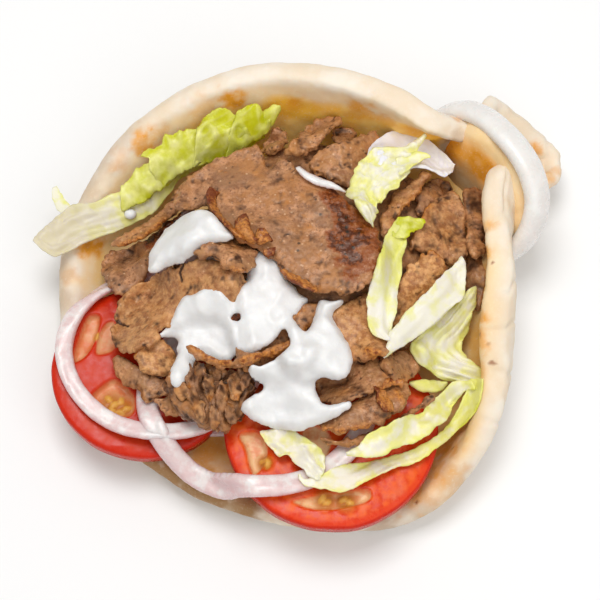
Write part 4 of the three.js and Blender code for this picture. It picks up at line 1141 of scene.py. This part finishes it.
# ---------------------------------------------------------------- sauce
SAUCE_STEP = 0.5
SAUCE_VOXEL = 0.5
BED_STEP = 1.0
SAUCE_BED = 2.4                # how far the sauce's bed lies under the top of its solids
SAUCE_FILM = 0.35              # how far the sauce stands over its bed at least
SAUCE_SUNK = 1.6               # how far it reaches below its bed
SAUCE_EDGE = 1.4
BLEND = 1.2                    # how softly the parts of the sauce join
ON_THE_SAUCE = ("slice_hero", "slice_knob", "slice_crisp_strip", "slice_crisp_bit")
# The sauce's outlines by their CAD nodes, and how high each stands.
SAUCES = {
    "sauce_left": dict(dome=3.4,
        pixels=[(147, 268), (148, 252), (154, 240), (165, 226), (180, 213), (193, 207), (206, 206),
            (214, 211), (222, 222), (236, 233), (226, 238), (205, 243), (196, 252), (184, 258), (166, 262),
            (154, 270)]),
    "sauce_middle_left": dict(dome=3.0,
        pixels=[(246, 250), (262, 246), (276, 247), (281, 262), (290, 280), (302, 292), (310, 297),
            (298, 310), (289, 314), (280, 330), (270, 341), (255, 349), (243, 352), (236, 335), (232, 312),
            (238, 292), (247, 278)]),
    "sauce_low_left": dict(dome=2.6,
        pixels=[(176, 306), (184, 298), (196, 300), (206, 296), (220, 300), (234, 312), (242, 330),
            (240, 352), (226, 361), (208, 354), (196, 349), (193, 364), (184, 382), (176, 386), (166, 377),
            (172, 362), (178, 346), (176, 334), (160, 336), (159, 331), (172, 322)]),
    "sauce_front": dict(dome=2.8,
        pixels=[(246, 367), (262, 362), (280, 354), (292, 351), (306, 364), (314, 380), (318, 396),
            (330, 404), (352, 396), (352, 404), (334, 416), (316, 423), (296, 430), (276, 426), (252, 418),
            (240, 408), (243, 398), (258, 390), (264, 382), (252, 374)]),
    "sauce_middle": dict(dome=2.0,
        pixels=[(286, 310), (296, 318), (304, 332), (312, 346), (306, 358), (294, 360), (284, 355),
            (292, 342), (286, 326)]),
    "sauce_drop": dict(dome=4.0,
        pixels=[(320, 295), (332, 299), (345, 295), (344, 301), (330, 311), (338, 324), (350, 342),
            (354, 358), (349, 372), (340, 378), (324, 374), (306, 374), (300, 364), (297, 350), (306, 332),
            (314, 316), (316, 304)]),
}

# Holes through the sauce: pixel x, pixel y, radius in mm.
SAUCE_HOLES = [(237, 315, 1.9), (250, 361, 1.2)]


def sauce_bed(low, high, solids, outlines, covered):
    """What the sauce lies on: the dressed pieces it covers, and in its outlines its solids."""
    trees = [tree_of(piece["points"], piece["faces"]) for piece in covered
             if piece["piece"].name not in ON_THE_SAUCE]
    columns, rows = np.ceil((high - low) / BED_STEP).astype(int) + 1
    x, y = low[0] + BED_STEP * np.arange(columns), low[1] + BED_STEP * np.arange(rows)
    bed = np.array([[max([hit.z for hit in (from_above(tree, a, b) for tree in trees) if hit] or [0.0])
                     for a in x] for b in y])
    plan = np.stack(np.meshgrid(x, y), axis=-1).reshape(-1, 2)
    for name, outline in outlines.items():
        for k in np.flatnonzero(inside(plan, outline) > -2):
            place = divmod(k, columns)
            bed[place] = max(bed[place], solids[name].height(*plan[k]) - SAUCE_BED)
    for _ in range(5):
        bed = 0.5 * bed + 0.5 * np.maximum(sum(neighbours(bed)) / 4, bed - 1)
    return HeightMap(low, BED_STEP, bed)


def sauce_piece(covered):
    """All of the sauce, one surface laid over the dressed pieces it covers."""
    solids = {name: Solid(name) for name in SAUCES}
    outlines = {name: rounded_outline(solids[name].under(how["pixels"])[::-1], 2)
                for name, how in SAUCES.items()}
    corners = np.concatenate(list(outlines.values()))
    low, high = corners.min(axis=0) - 3, corners.max(axis=0) + 3
    resting = sauce_bed(low, high, solids, outlines, covered)
    holes = solids["sauce_middle_left"].placed(SAUCE_HOLES)

    def deep(plan):
        at = flattened(plan)
        each = np.stack([inside(plan, outline) for outline in outlines.values()]) / BLEND
        whole = BLEND * np.log(np.exp(np.clip(each, -30, 30)).sum(axis=0))
        for x, y, radius in holes:
            edge = np.hypot(plan[:, 0] - x, (plan[:, 1] - y) * 1.4) - radius
            whole = np.minimum(whole, edge + 0.8 * noise(at, 1.8, 306))
        return whole + 0.4 * noise(at, 5, 301) + 0.4 * noise(at, 2, 302) + 0.2 * noise(at, 1, 307)

    def over(plan, depth):
        at = flattened(plan)
        z = resting(plan) + SAUCE_FILM
        for name, outline in outlines.items():
            far = np.maximum(inside(plan, outline), 0)
            z = np.maximum(z, resting(plan) + SAUCES[name]["dome"] * (1 - np.exp(-far / 3.0)))
        ridge = 1 - 2.2 * np.abs(noise(at, 9, 305))
        z += np.minimum(depth, 1.8) * (0.45 * noise(at, 7, 303) + 0.15 * noise(at, 3.5, 304) + 0.5 * ridge)
        return z - rounding(depth, SAUCE_EDGE)

    def below(plan, depth):
        return resting(plan) - SAUCE_SUNK

    points, quads = evened(*sheet(low, high, SAUCE_STEP, deep, over, below), SAUCE_VOXEL)
    make_piece("sauce", "sauce", list(SAUCES), relaxed(points, quads, 3, (0.5, -0.4)), quads)


# Drops of sauce lying apart: pixel x, pixel y, height of the bed and radius in mm.
DROPLETS = [(130, 213, 25.5, 2.2), (178, 202, 24.5, 1.1), (204, 233, 44.0, 0.8)]


def droplets_piece():
    """The scattered drops as one piece."""
    parts = []
    for px, py, bed, radius in DROPLETS:
        middle = at_height(px, py, bed + 0.4 * radius)

        def deep(plan):
            return radius - np.hypot(plan[:, 0] - middle[0], (plan[:, 1] - middle[1]) * 1.15)

        def top(plan, depth):
            return bed + 0.75 * np.sqrt(np.maximum(radius ** 2 - (radius - depth) ** 2, 0))

        def bottom(plan, depth):
            return bed - 0.5 - 0.2 * depth

        some, faces = sheet(middle - radius - 0.5, middle + radius + 0.5, radius / 7, deep, top, bottom)
        parts.append((relaxed(some, faces, 2), faces))
    make_piece("sauce_droplets", "sauce", [], *joined(parts))


# ---------------------------------------------------------------- leaves
LEAF_THICK = 0.5


def leaf_piece(name, solid_name, one, other, ruffle=(0.7, 0.7), wave=17.0, crinkle=0.35, creases=0.45,
               frill=0.0, arch=0.0, lift=0.0, green=(0.5, 0.5), edges=0.25, ragged=0.35, dim=0.0):
    """A leaf. ruffle and edges are for its edges, green for its two ends."""
    seed = seed_of(name) * 3
    grid, run, v, width, outward = leaf_grid(Solid(solid_name), one, other, lift, arch=arch)
    outward = outward[:, None]
    across = v[None] * width[:, None]
    ease = np.minimum(width / 6, 1)[:, None]

    def lumps(x, y, z, size, step):
        at = np.column_stack([np.broadcast_to(part, run.shape).ravel() for part in (x, y, z)])
        return noise(at, size, seed + step).reshape(run.shape)

    drift = lumps(run, 0, 0, 30, 0)
    for side, amount in enumerate(ruffle):
        weight = (v if side else 1 - v)[None] ** 2 * ease
        at = (run, 0, 9 * side)
        up = lumps(*at, wave, side) + 0.45 * lumps(*at, wave / 2.3, 2 + side)
        out = lumps(*at, wave * 0.7, 4 + side) + 0.5 * lumps(*at, wave / 3.1, 6 + side)
        grid[..., 2] += 2.2 * amount * weight * up
        grid[..., :2] += ((1 if side else -1) * 1.3 * amount * weight * out)[..., None] * outward
    at = (across + 2.0 * drift, run / 7, 0)
    fold = 1 - 2.2 * np.abs(lumps(*at, 3.6, 8)) + 0.5 * lumps(*at, 1.7, 9)
    grid[..., 2] += creases * fold * ease
    at = (grid[..., 0].copy(), grid[..., 1].copy(), 0)
    grid[..., 2] += crinkle * (lumps(*at, 6, 10) + 0.5 * lumps(*at, 3, 11) + 0.25 * lumps(*at, 1.5, 12))
    if frill:
        ridge = 1 - 2.4 * np.abs(lumps(*at, 8, 20)) + 0.5 * lumps(*at, 4, 21)
        grid[..., 2] += frill * ridge
        fold = np.maximum(fold, 1.2 * ridge - 0.1)
    mottled = 0.12 * lumps(*at, 8, 15)
    rim = np.abs(2 * v - 1)[None]
    half = np.sign(v - 0.5)[None]
    jag = ragged * (lumps(run, half, 0, 3, 13) + 0.7 * lumps(run, half, 0, 1.3, 14))
    ends = np.abs(2 * run / run.max() - 1) ** 8 * np.sign(run - run.max() / 2)
    forward = np.gradient(grid[..., :2], axis=0) / LEAF_CELL
    grid[..., :2] += (ends * 2.5 * ragged * lumps(across, 0, 0, 3.5, 16))[..., None] * forward
    grid[..., :2] += ((rim ** 4) * jag * half)[..., None] * outward
    share = run / run.max()
    shade = green[0] * (1 - share) + green[1] * share + edges * rim ** 3
    shade += mottled - 0.10 * fold
    shade, fold, dim = for_shell(grid, np.clip(shade, -1, 1), fold, dim * ramp(share, 0.45, 0.1))
    make_piece(name, "lettuce", [solid_name], *shell(grid, LEAF_THICK), green=shade, fold=fold, dim=dim)


# The leaves, each between two edges given by pixels, some with their height in mm.
LEAVES = {
    # The long leaf's left end is painted greyer, as painted shade.
    "shred_long": dict(solid_name="lettuce_long", ruffle=(0.4, 0.8), wave=16.0, crinkle=0.5, creases=0.6,
        green=(0.0, 1.0), edges=0.1, frill=0.5, dim=0.8,
        one=[(33, 241, 28.5), (44, 252, 28), (57, 258, 27), (76, 248, 25.5), (113, 234, 23), (134, 224, 22),
            (155, 213, 21), (166, 199, 21.5), (180, 179, 22), (206, 165, 22.5), (239, 153, 23),
            (265, 137, 25)],
        other=[(34, 238, 28.5), (52, 223, 28.5), (71, 206, 29.5), (90, 205, 30), (121, 191, 28.5),
            (130, 182, 29), (142, 172, 29), (160, 164, 29), (176, 152, 30), (200, 140, 32),
            (230, 130, 32.5), (262, 124, 31)]),
    "shred_lobe_low": dict(solid_name="lettuce_long", ruffle=(0.2, 0.8), wave=7.0, crinkle=0.8, creases=0.3,
        frill=1.2, arch=1.6, green=(0.6, 0.8), edges=0.2, ragged=0.9,
        one=[(122, 210, 26), (138, 207, 26), (150, 199, 26.5), (164, 188, 27), (176, 178, 27)],
        other=[(120, 190, 29.5), (128, 181, 30.5), (135, 172, 31), (141, 168, 31.5), (152, 163, 31.5),
            (166, 160, 31), (178, 156, 31)]),
    "shred_lobe_middle": dict(solid_name="lettuce_long", ruffle=(0.3, 0.9), wave=7.0, crinkle=0.8,
        creases=0.4, frill=1.5, arch=1.6, green=(0.75, 0.85), edges=0.2, ragged=0.9,
        one=[(160, 190, 27), (176, 178, 27.5), (196, 168, 28), (214, 160, 28)],
        other=[(143, 155, 34.5), (157, 147, 35), (161, 138, 35.5), (172, 135, 36), (190, 131, 36),
            (204, 130, 36)]),
    "shred_lobe_high": dict(solid_name="lettuce_long", ruffle=(0.3, 0.9), wave=7.0, crinkle=0.9,
        creases=0.4, frill=1.6, arch=2.0, green=(0.8, 0.9), edges=0.2, ragged=0.9,
        one=[(194, 170, 28), (216, 160, 28.5), (239, 152, 29), (252, 145, 29)],
        other=[(198, 126, 38), (205, 117, 39), (217, 110, 40), (229, 112, 39.5), (236, 119, 38),
            (244, 124, 37)]),
    "shred_lobe_end": dict(solid_name="lettuce_long", ruffle=(0.3, 0.9), wave=7.0, crinkle=0.8, creases=0.4,
        frill=1.4, arch=2.0, green=(0.9, 0.95), edges=0.2, ragged=0.9,
        one=[(226, 158, 29), (240, 152, 29.5), (256, 143, 30), (266, 136, 31), (271, 127, 33)],
        other=[(234, 122, 38), (239, 110, 39.5), (250, 106, 40), (260, 111, 38.5), (265, 119, 35),
            (270, 122, 34)]),
    "shred_lobe_tip": dict(solid_name="lettuce_long", ruffle=(0.3, 0.5), wave=7.0, crinkle=0.6, creases=0.4,
        frill=0.8, arch=1.2, green=(0.8, 0.9), edges=0.1, ragged=0.6,
        one=[(258, 130, 32.5), (267, 133, 32), (272, 126, 34), (281, 111, 37.5)],
        other=[(259, 122, 35), (265, 111, 38), (272, 104, 40), (279, 107, 39)]),
    "shred_spike": dict(solid_name="lettuce_spike", ruffle=(0.1, 0.1), crinkle=0.1, creases=0.2,
        green=(0.3, 0.15), edges=0.1, one=[(52, 189), (52, 200), (57, 210), (68, 221)],
        other=[(57, 187), (63, 197), (70, 206), (82, 213)]),
    "leaf_white": dict(solid_name="lettuce_white_leaf", ruffle=(0.5, 0.4), creases=0.3, green=(-0.9, -0.9),
        edges=0.0, lift=9.0,
        one=[(366, 158), (370, 146), (378, 136), (396, 131), (417, 130), (426, 138), (440, 148),
            (456, 160)],
        other=[(385, 170), (400, 172), (410, 172), (420, 172), (432, 173), (438, 175), (444, 177),
            (453, 170)]),
    "leaf_yellow": dict(solid_name="lettuce_yellow_leaf", ruffle=(1.5, 1.5), wave=10.0, crinkle=1.3,
        creases=1.0, green=(0.3, 0.22), edges=0.22, arch=1.2, lift=3.0, frill=1.2,
        one=[(367, 218), (360, 212), (348, 197), (347, 186), (357, 166), (371, 151), (382, 151), (396, 148),
            (410, 146), (424, 136)],
        other=[(375, 224), (377, 212), (376, 204), (392, 197), (399, 187), (397, 180), (403, 176),
            (411, 170), (414, 154), (426, 137)]),
    "leaf_yellow_tip": dict(solid_name="lettuce_yellow_leaf", ruffle=(0.4, 0.4), green=(0.25, 0.3),
        lift=5.0, one=[(396, 158), (408, 153), (420, 153), (431, 155)],
        other=[(399, 176), (410, 170), (421, 162), (431, 156)]),
    "strip_right": dict(solid_name="lettuce_strip_right", ruffle=(0.8, 0.6), crinkle=0.4, creases=0.7,
        green=(0.62, 0.05), edges=0.12,
        one=[(397, 219), (391, 227), (385, 240), (376, 260), (374, 272), (371, 284), (367, 305), (367, 322),
            (371, 334), (380, 338)],
        other=[(411, 222), (411, 232), (407, 236), (406, 243), (402, 266), (399, 288), (398, 310),
            (392, 324), (390, 334), (390, 341)]),
    "strip_top": dict(solid_name="lettuce_strip_right", ruffle=(0.9, 1.3), wave=7.0, crinkle=0.8,
        green=(0.7, 0.9), lift=0.6, frill=0.9,
        one=[(392, 236), (393, 224), (399, 217), (408, 216), (418, 218), (424, 219)],
        other=[(404, 240), (408, 236), (412, 231), (417, 230), (421, 228), (425, 224)]),
    "leaf_wedge": dict(solid_name="lettuce_wedge", ruffle=(0.5, 0.5), crinkle=0.3, creases=0.55,
        green=(0.12, 0.1), edges=0.1, arch=1.0, lift=1.0,
        one=[(462, 257), (452, 266), (432, 285), (416, 302), (398, 322), (389, 334), (388, 343),
            (382, 357)],
        other=[(465, 261), (466, 280), (466, 298), (449, 310), (430, 327), (407, 343), (392, 352),
            (383, 359)]),
    "ruffle_front": dict(solid_name="lettuce_ruffled_front", ruffle=(0.9, 1.2), wave=12, crinkle=0.6,
        creases=1.0, green=(0.34, 0.16), edges=0.4, arch=2.2, frill=0.4,
        one=[(462, 297), (446, 311), (430, 327), (415, 340), (409, 347), (412, 358), (421, 369), (435, 378),
            (452, 382), (463, 386), (470, 397)],
        other=[(475, 288), (477, 299), (473, 313), (467, 329), (460, 344), (461, 350), (468, 358),
            (477, 366), (483, 380), (485, 394)]),
    "leaf_small_front": dict(solid_name="lettuce_ruffled_front", ruffle=(0.3, 0.3), green=(0.55, 0.5),
        edges=0.1, arch=0.8, one=[(409, 384), (418, 391), (431, 393), (441, 390), (447, 385)],
        other=[(410, 382), (418, 380), (428, 379), (440, 381), (447, 383)]),
    "band_outer": dict(solid_name="lettuce_band", ruffle=(0.6, 0.6), wave=20, crinkle=0.3, creases=0.75,
        green=(0.5, 0.12), edges=0.28,
        one=[(484, 378), (484, 388), (479, 404), (467, 422), (454, 435), (439, 448), (423, 459), (397, 468),
            (376, 477), (355, 488), (342, 494), (326, 489), (308, 488), (299, 481), (298, 474)],
        other=[(472, 378), (470, 386), (464, 398), (457, 414), (444, 429), (431, 440), (410, 450),
            (386, 459), (355, 463), (337, 465), (326, 471), (318, 476), (308, 480), (302, 479), (300, 474)]),
    "band_inner": dict(solid_name="lettuce_inner_band", ruffle=(0.6, 0.9), wave=12, crinkle=0.7,
        creases=0.6, green=(0.28, 0.36), edges=0.25, arch=0.8, lift=0.6, frill=0.8,
        one=[(346, 453), (359, 447), (362, 440), (373, 431), (394, 422), (410, 417), (423, 412), (433, 401),
            (449, 390), (460, 383), (472, 380)],
        other=[(347, 455), (356, 458), (370, 459), (380, 456), (397, 449), (418, 441), (431, 433),
            (444, 420), (457, 404), (465, 392), (474, 388)]),
    "pale_front": dict(solid_name="lettuce_pale_front", ruffle=(0.9, 0.8), wave=9, crinkle=0.8, creases=0.9,
        green=(0.24, 0.14), edges=0.18, lift=0.8, frill=1.1,
        one=[(260, 432), (268, 444), (277, 459), (284, 455), (292, 454), (294, 462), (304, 474),
            (316, 481)],
        other=[(274, 429), (292, 431), (310, 439), (320, 446), (326, 456), (327, 464), (326, 470),
            (322, 478)]),
}


# ---------------------------------------------------------------- tomatoes
TOMATO_STEP = 0.55
TOMATO_THICK = 5.5
TOMATO_EDGE = 1.0
TOMATO_DROP = 0.8              # how far the top drops at the edge
# Hollows are a depth in mm and an outline, seeds are pixels, and gels are pixels with a radius in mm.
TOMATOES = {
    "tomato_left": dict(ripe=1.0,
        hollows=[(2.6, [(86, 314), (101, 314), (100, 326), (95, 343), (86, 357), (73, 364), (72, 355),
            (78, 337)]), (0.9, [(98, 332), (106, 322), (116, 320), (118, 346), (110, 354), (94, 356)]),
            (2.2, [(89, 396), (102, 384), (115, 377), (128, 386), (137, 399), (133, 417), (115, 418),
            (98, 408)])],
        seeds=[(108, 398), (114, 404), (121, 400), (127, 408), (112, 410), (120, 412), (96, 336)],
        gels=[(112, 404, 5), (124, 407, 4)]),
    "tomato_right": dict(hollows=[(2.6, [(237, 434), (250, 430), (264, 434), (269, 450), (265, 466),
            (254, 477), (249, 468), (246, 450)]), (2.3, [(289, 501), (306, 497), (340, 492), (370, 487),
            (373, 500), (350, 508), (324, 511), (305, 508)]), (0.8, [(300, 428), (322, 424), (334, 440),
            (326, 462), (306, 452)])],
        seeds=[(264, 461), (268, 465), (322, 499), (327, 502), (343, 499), (350, 502)],
        gels=[(265, 462, 3.2), (325, 500, 4.2), (346, 501, 4.5)]),
}


def tomato_piece(name, hollows, seeds, gels, ripe=0.0):
    """A slice of tomato: skin round a wall of flesh, with hollows full of gel and seeds."""
    seed = seed_of(name)
    solid = Solid(name)
    outline = rounded_outline(solid.outline(), 2)
    low, high = outline.min(axis=0) - 2, outline.max(axis=0) + 2
    height = top_of(solid, low, high, 2.0, 3)
    hollows = [(deep_by, rounded_outline(solid.under(line), 2)) for deep_by, line in hollows]
    drops = solid.placed(gels)
    stones = solid.under(seeds)
    tilt = np.random.RandomState(seed).uniform(0, math.pi, len(stones))

    def gel_shape(plan):
        return np.max([ramp(1.2 - np.hypot(plan[:, 0] - x, plan[:, 1] - y) / radius, 0, 0.9)
                       for x, y, radius in drops], axis=0)

    def seed_shape(plan):
        best = np.full(len(plan), 9.0)
        for (x, y), turn in zip(stones, tilt):
            u = (plan[:, 0] - x) * math.cos(turn) + (plan[:, 1] - y) * math.sin(turn)
            w = (plan[:, 1] - y) * math.cos(turn) - (plan[:, 0] - x) * math.sin(turn)
            best = np.minimum(best, np.hypot(u / 1.7, w / 1.1))
        return best

    def deep(plan):
        return inside(plan, outline) + 0.25 * noise(flattened(plan), 14, seed)

    def over(plan, depth):
        at = flattened(plan)
        z = height(plan) + 0.2 * noise(at, 9, seed + 1) + 0.1 * noise(at, 3, seed + 2)
        z -= np.max([deep_by * ramp(inside(plan, line), -0.3, 1.3) for deep_by, line in hollows], axis=0)
        z += 1.2 * gel_shape(plan) + 0.7 * ramp(seed_shape(plan), 1.2, 0.4)
        return z - TOMATO_DROP * rounding(depth, TOMATO_EDGE)

    def below(plan, depth):
        return height(plan) - TOMATO_THICK

    points, quads = sheet(low, high, TOMATO_STEP, deep, over, below)
    depth = deep(points)
    hollow = np.max([inside(points, line) for _, line in hollows], axis=0)
    make_piece("slice_of_" + name, "tomato", [name], points, quads, skin=ramp(depth, 1.1, 0.5),
               wall=ramp(depth, 3.4, 2.0), hollow=ramp(hollow, -0.1, 0.7),
               seed=ramp(seed_shape(points), 1.05, 0.8), gel=gel_shape(points), ripe=ripe)


# ---------------------------------------------------------------- onions
ONION_THICK = 2.2
CROSSING = (-50.0, -49.0)      # where the left ring lies over the front one
# A cut of onion is widened by wider, and a move is a place, the radius round it and the way to go.
ONIONS = {
    "onion_ring_front": dict(wider=0.9, moves=[(CROSSING, 13, (0, 0, -3.4))]),
    "onion_ring_left": dict(wider=0.2, moves=[(CROSSING, 16, (0, 0, 3.2))]),
    "onion_ring_neck": dict(wider=1.5, moves=[((70, 54, 49), 24, (-3.4, -3.0, -2.5))], upright=1.0,
                            voxel=0.5, smoothing=(36, (0.5,)), side=0.1, pink=0.0),
    "onion_sliver": dict(wider=0.0, pink=0.0),
}


def onion_piece(name, wider, moves=(), upright=0.25, voxel=0.7, smoothing=(10,), side=1.0, pink=1.0):
    points, quads = evened(*cad_mesh(name), voxel, 2)
    points = relaxed(points, quads, *smoothing)
    normal = normals(points, quads)
    if name == "onion_ring_front":
        points[:, 2] -= 7 * ramp(points[:, 1], -34, -18)
    for place, radius, move in moves:
        points = points + nearness(points[:, :len(place)], place, radius)[:, None] * move
    points = points + wider * normal * [1, 1, upright] + 0.12 * noise(points, 9, 5)[:, None] * normal
    make_piece("cut_" + name, "onion", [name], points, quads,
               side=ramp(np.abs(normal[:, 2]), 0.85, 0.4) * side, pink=pink)


# The left ring's end running on under the meat: pixel x, pixel y, height in mm.
ONION_END = dict(one=[(192, 418, 15), (214, 419, 14.5), (238, 421, 14), (268, 424, 13)],
                 other=[(192, 436, 15), (214, 437, 14.5), (240, 435, 14), (266, 432, 13)])


def onion_end_piece():
    points, quads = shell(leaf_grid(None, **ONION_END, arch=0.5)[0], ONION_THICK)
    points = relaxed(points, quads, 3)
    make_piece("cut_onion_ring_end", "onion", [], points, quads,
               side=ramp(np.abs(normals(points, quads)[:, 2]), 0.85, 0.4), pink=1.0)


# ---------------------------------------------------------------- stage
FLOOR_HALF = 3.0               # m
LAMP_AIM = Vector((0, 0, 0.02))
LAMPS = {"key": ((-0.06, 0.15, 0.87), 0.38, 4.1), "fill": ((0.30, -0.42, 0.72), 0.8, 2.2)}    # m, m, W


def add_stage():
    material = Paint("floor", Roughness=0.9, Base_Color=(0.9, 0.9, 0.9, 1)).material
    corners = [(-1, -1, 0), (1, -1, 0), (1, 1, 0), (-1, 1, 0)]
    mesh = new_mesh("floor", np.array(corners) * FLOOR_HALF, np.array([[0, 1, 2, 3]]))
    mesh.materials.append(material)
    floor = added("floor", mesh)

    world = bpy.data.worlds.new("studio")
    world.use_nodes = True
    world.node_tree.nodes["Background"].inputs["Color"].default_value = (1.0, 0.99, 0.97, 1)
    world.node_tree.nodes["Background"].inputs["Strength"].default_value = 0.47
    bpy.context.scene.world = world
    for name, (place, side, power) in LAMPS.items():
        data = bpy.data.lights.new(name, "AREA")
        data.size = side
        data.energy = power
        lamp = added(name, data)
        lamp.location = place
        lamp.rotation_euler = (Vector(place) - LAMP_AIM).to_track_quat("Z", "Y").to_euler()
    bpy.context.scene.view_settings.view_transform = "Standard"


# ---------------------------------------------------------------- the sandwich
add_camera()
add_stage()
bread_piece()
fold_piece()
slices = [meat_piece(name, **how) for name, how in SLICES.items()]
slices.append(shreds_piece())
sauce_piece(slices)
droplets_piece()
for make, table in ((lip_piece, LIPS), (leaf_piece, LEAVES), (tomato_piece, TOMATOES), (onion_piece, ONIONS)):
    for name, how in table.items():
        make(name, **how)
onion_end_piece()
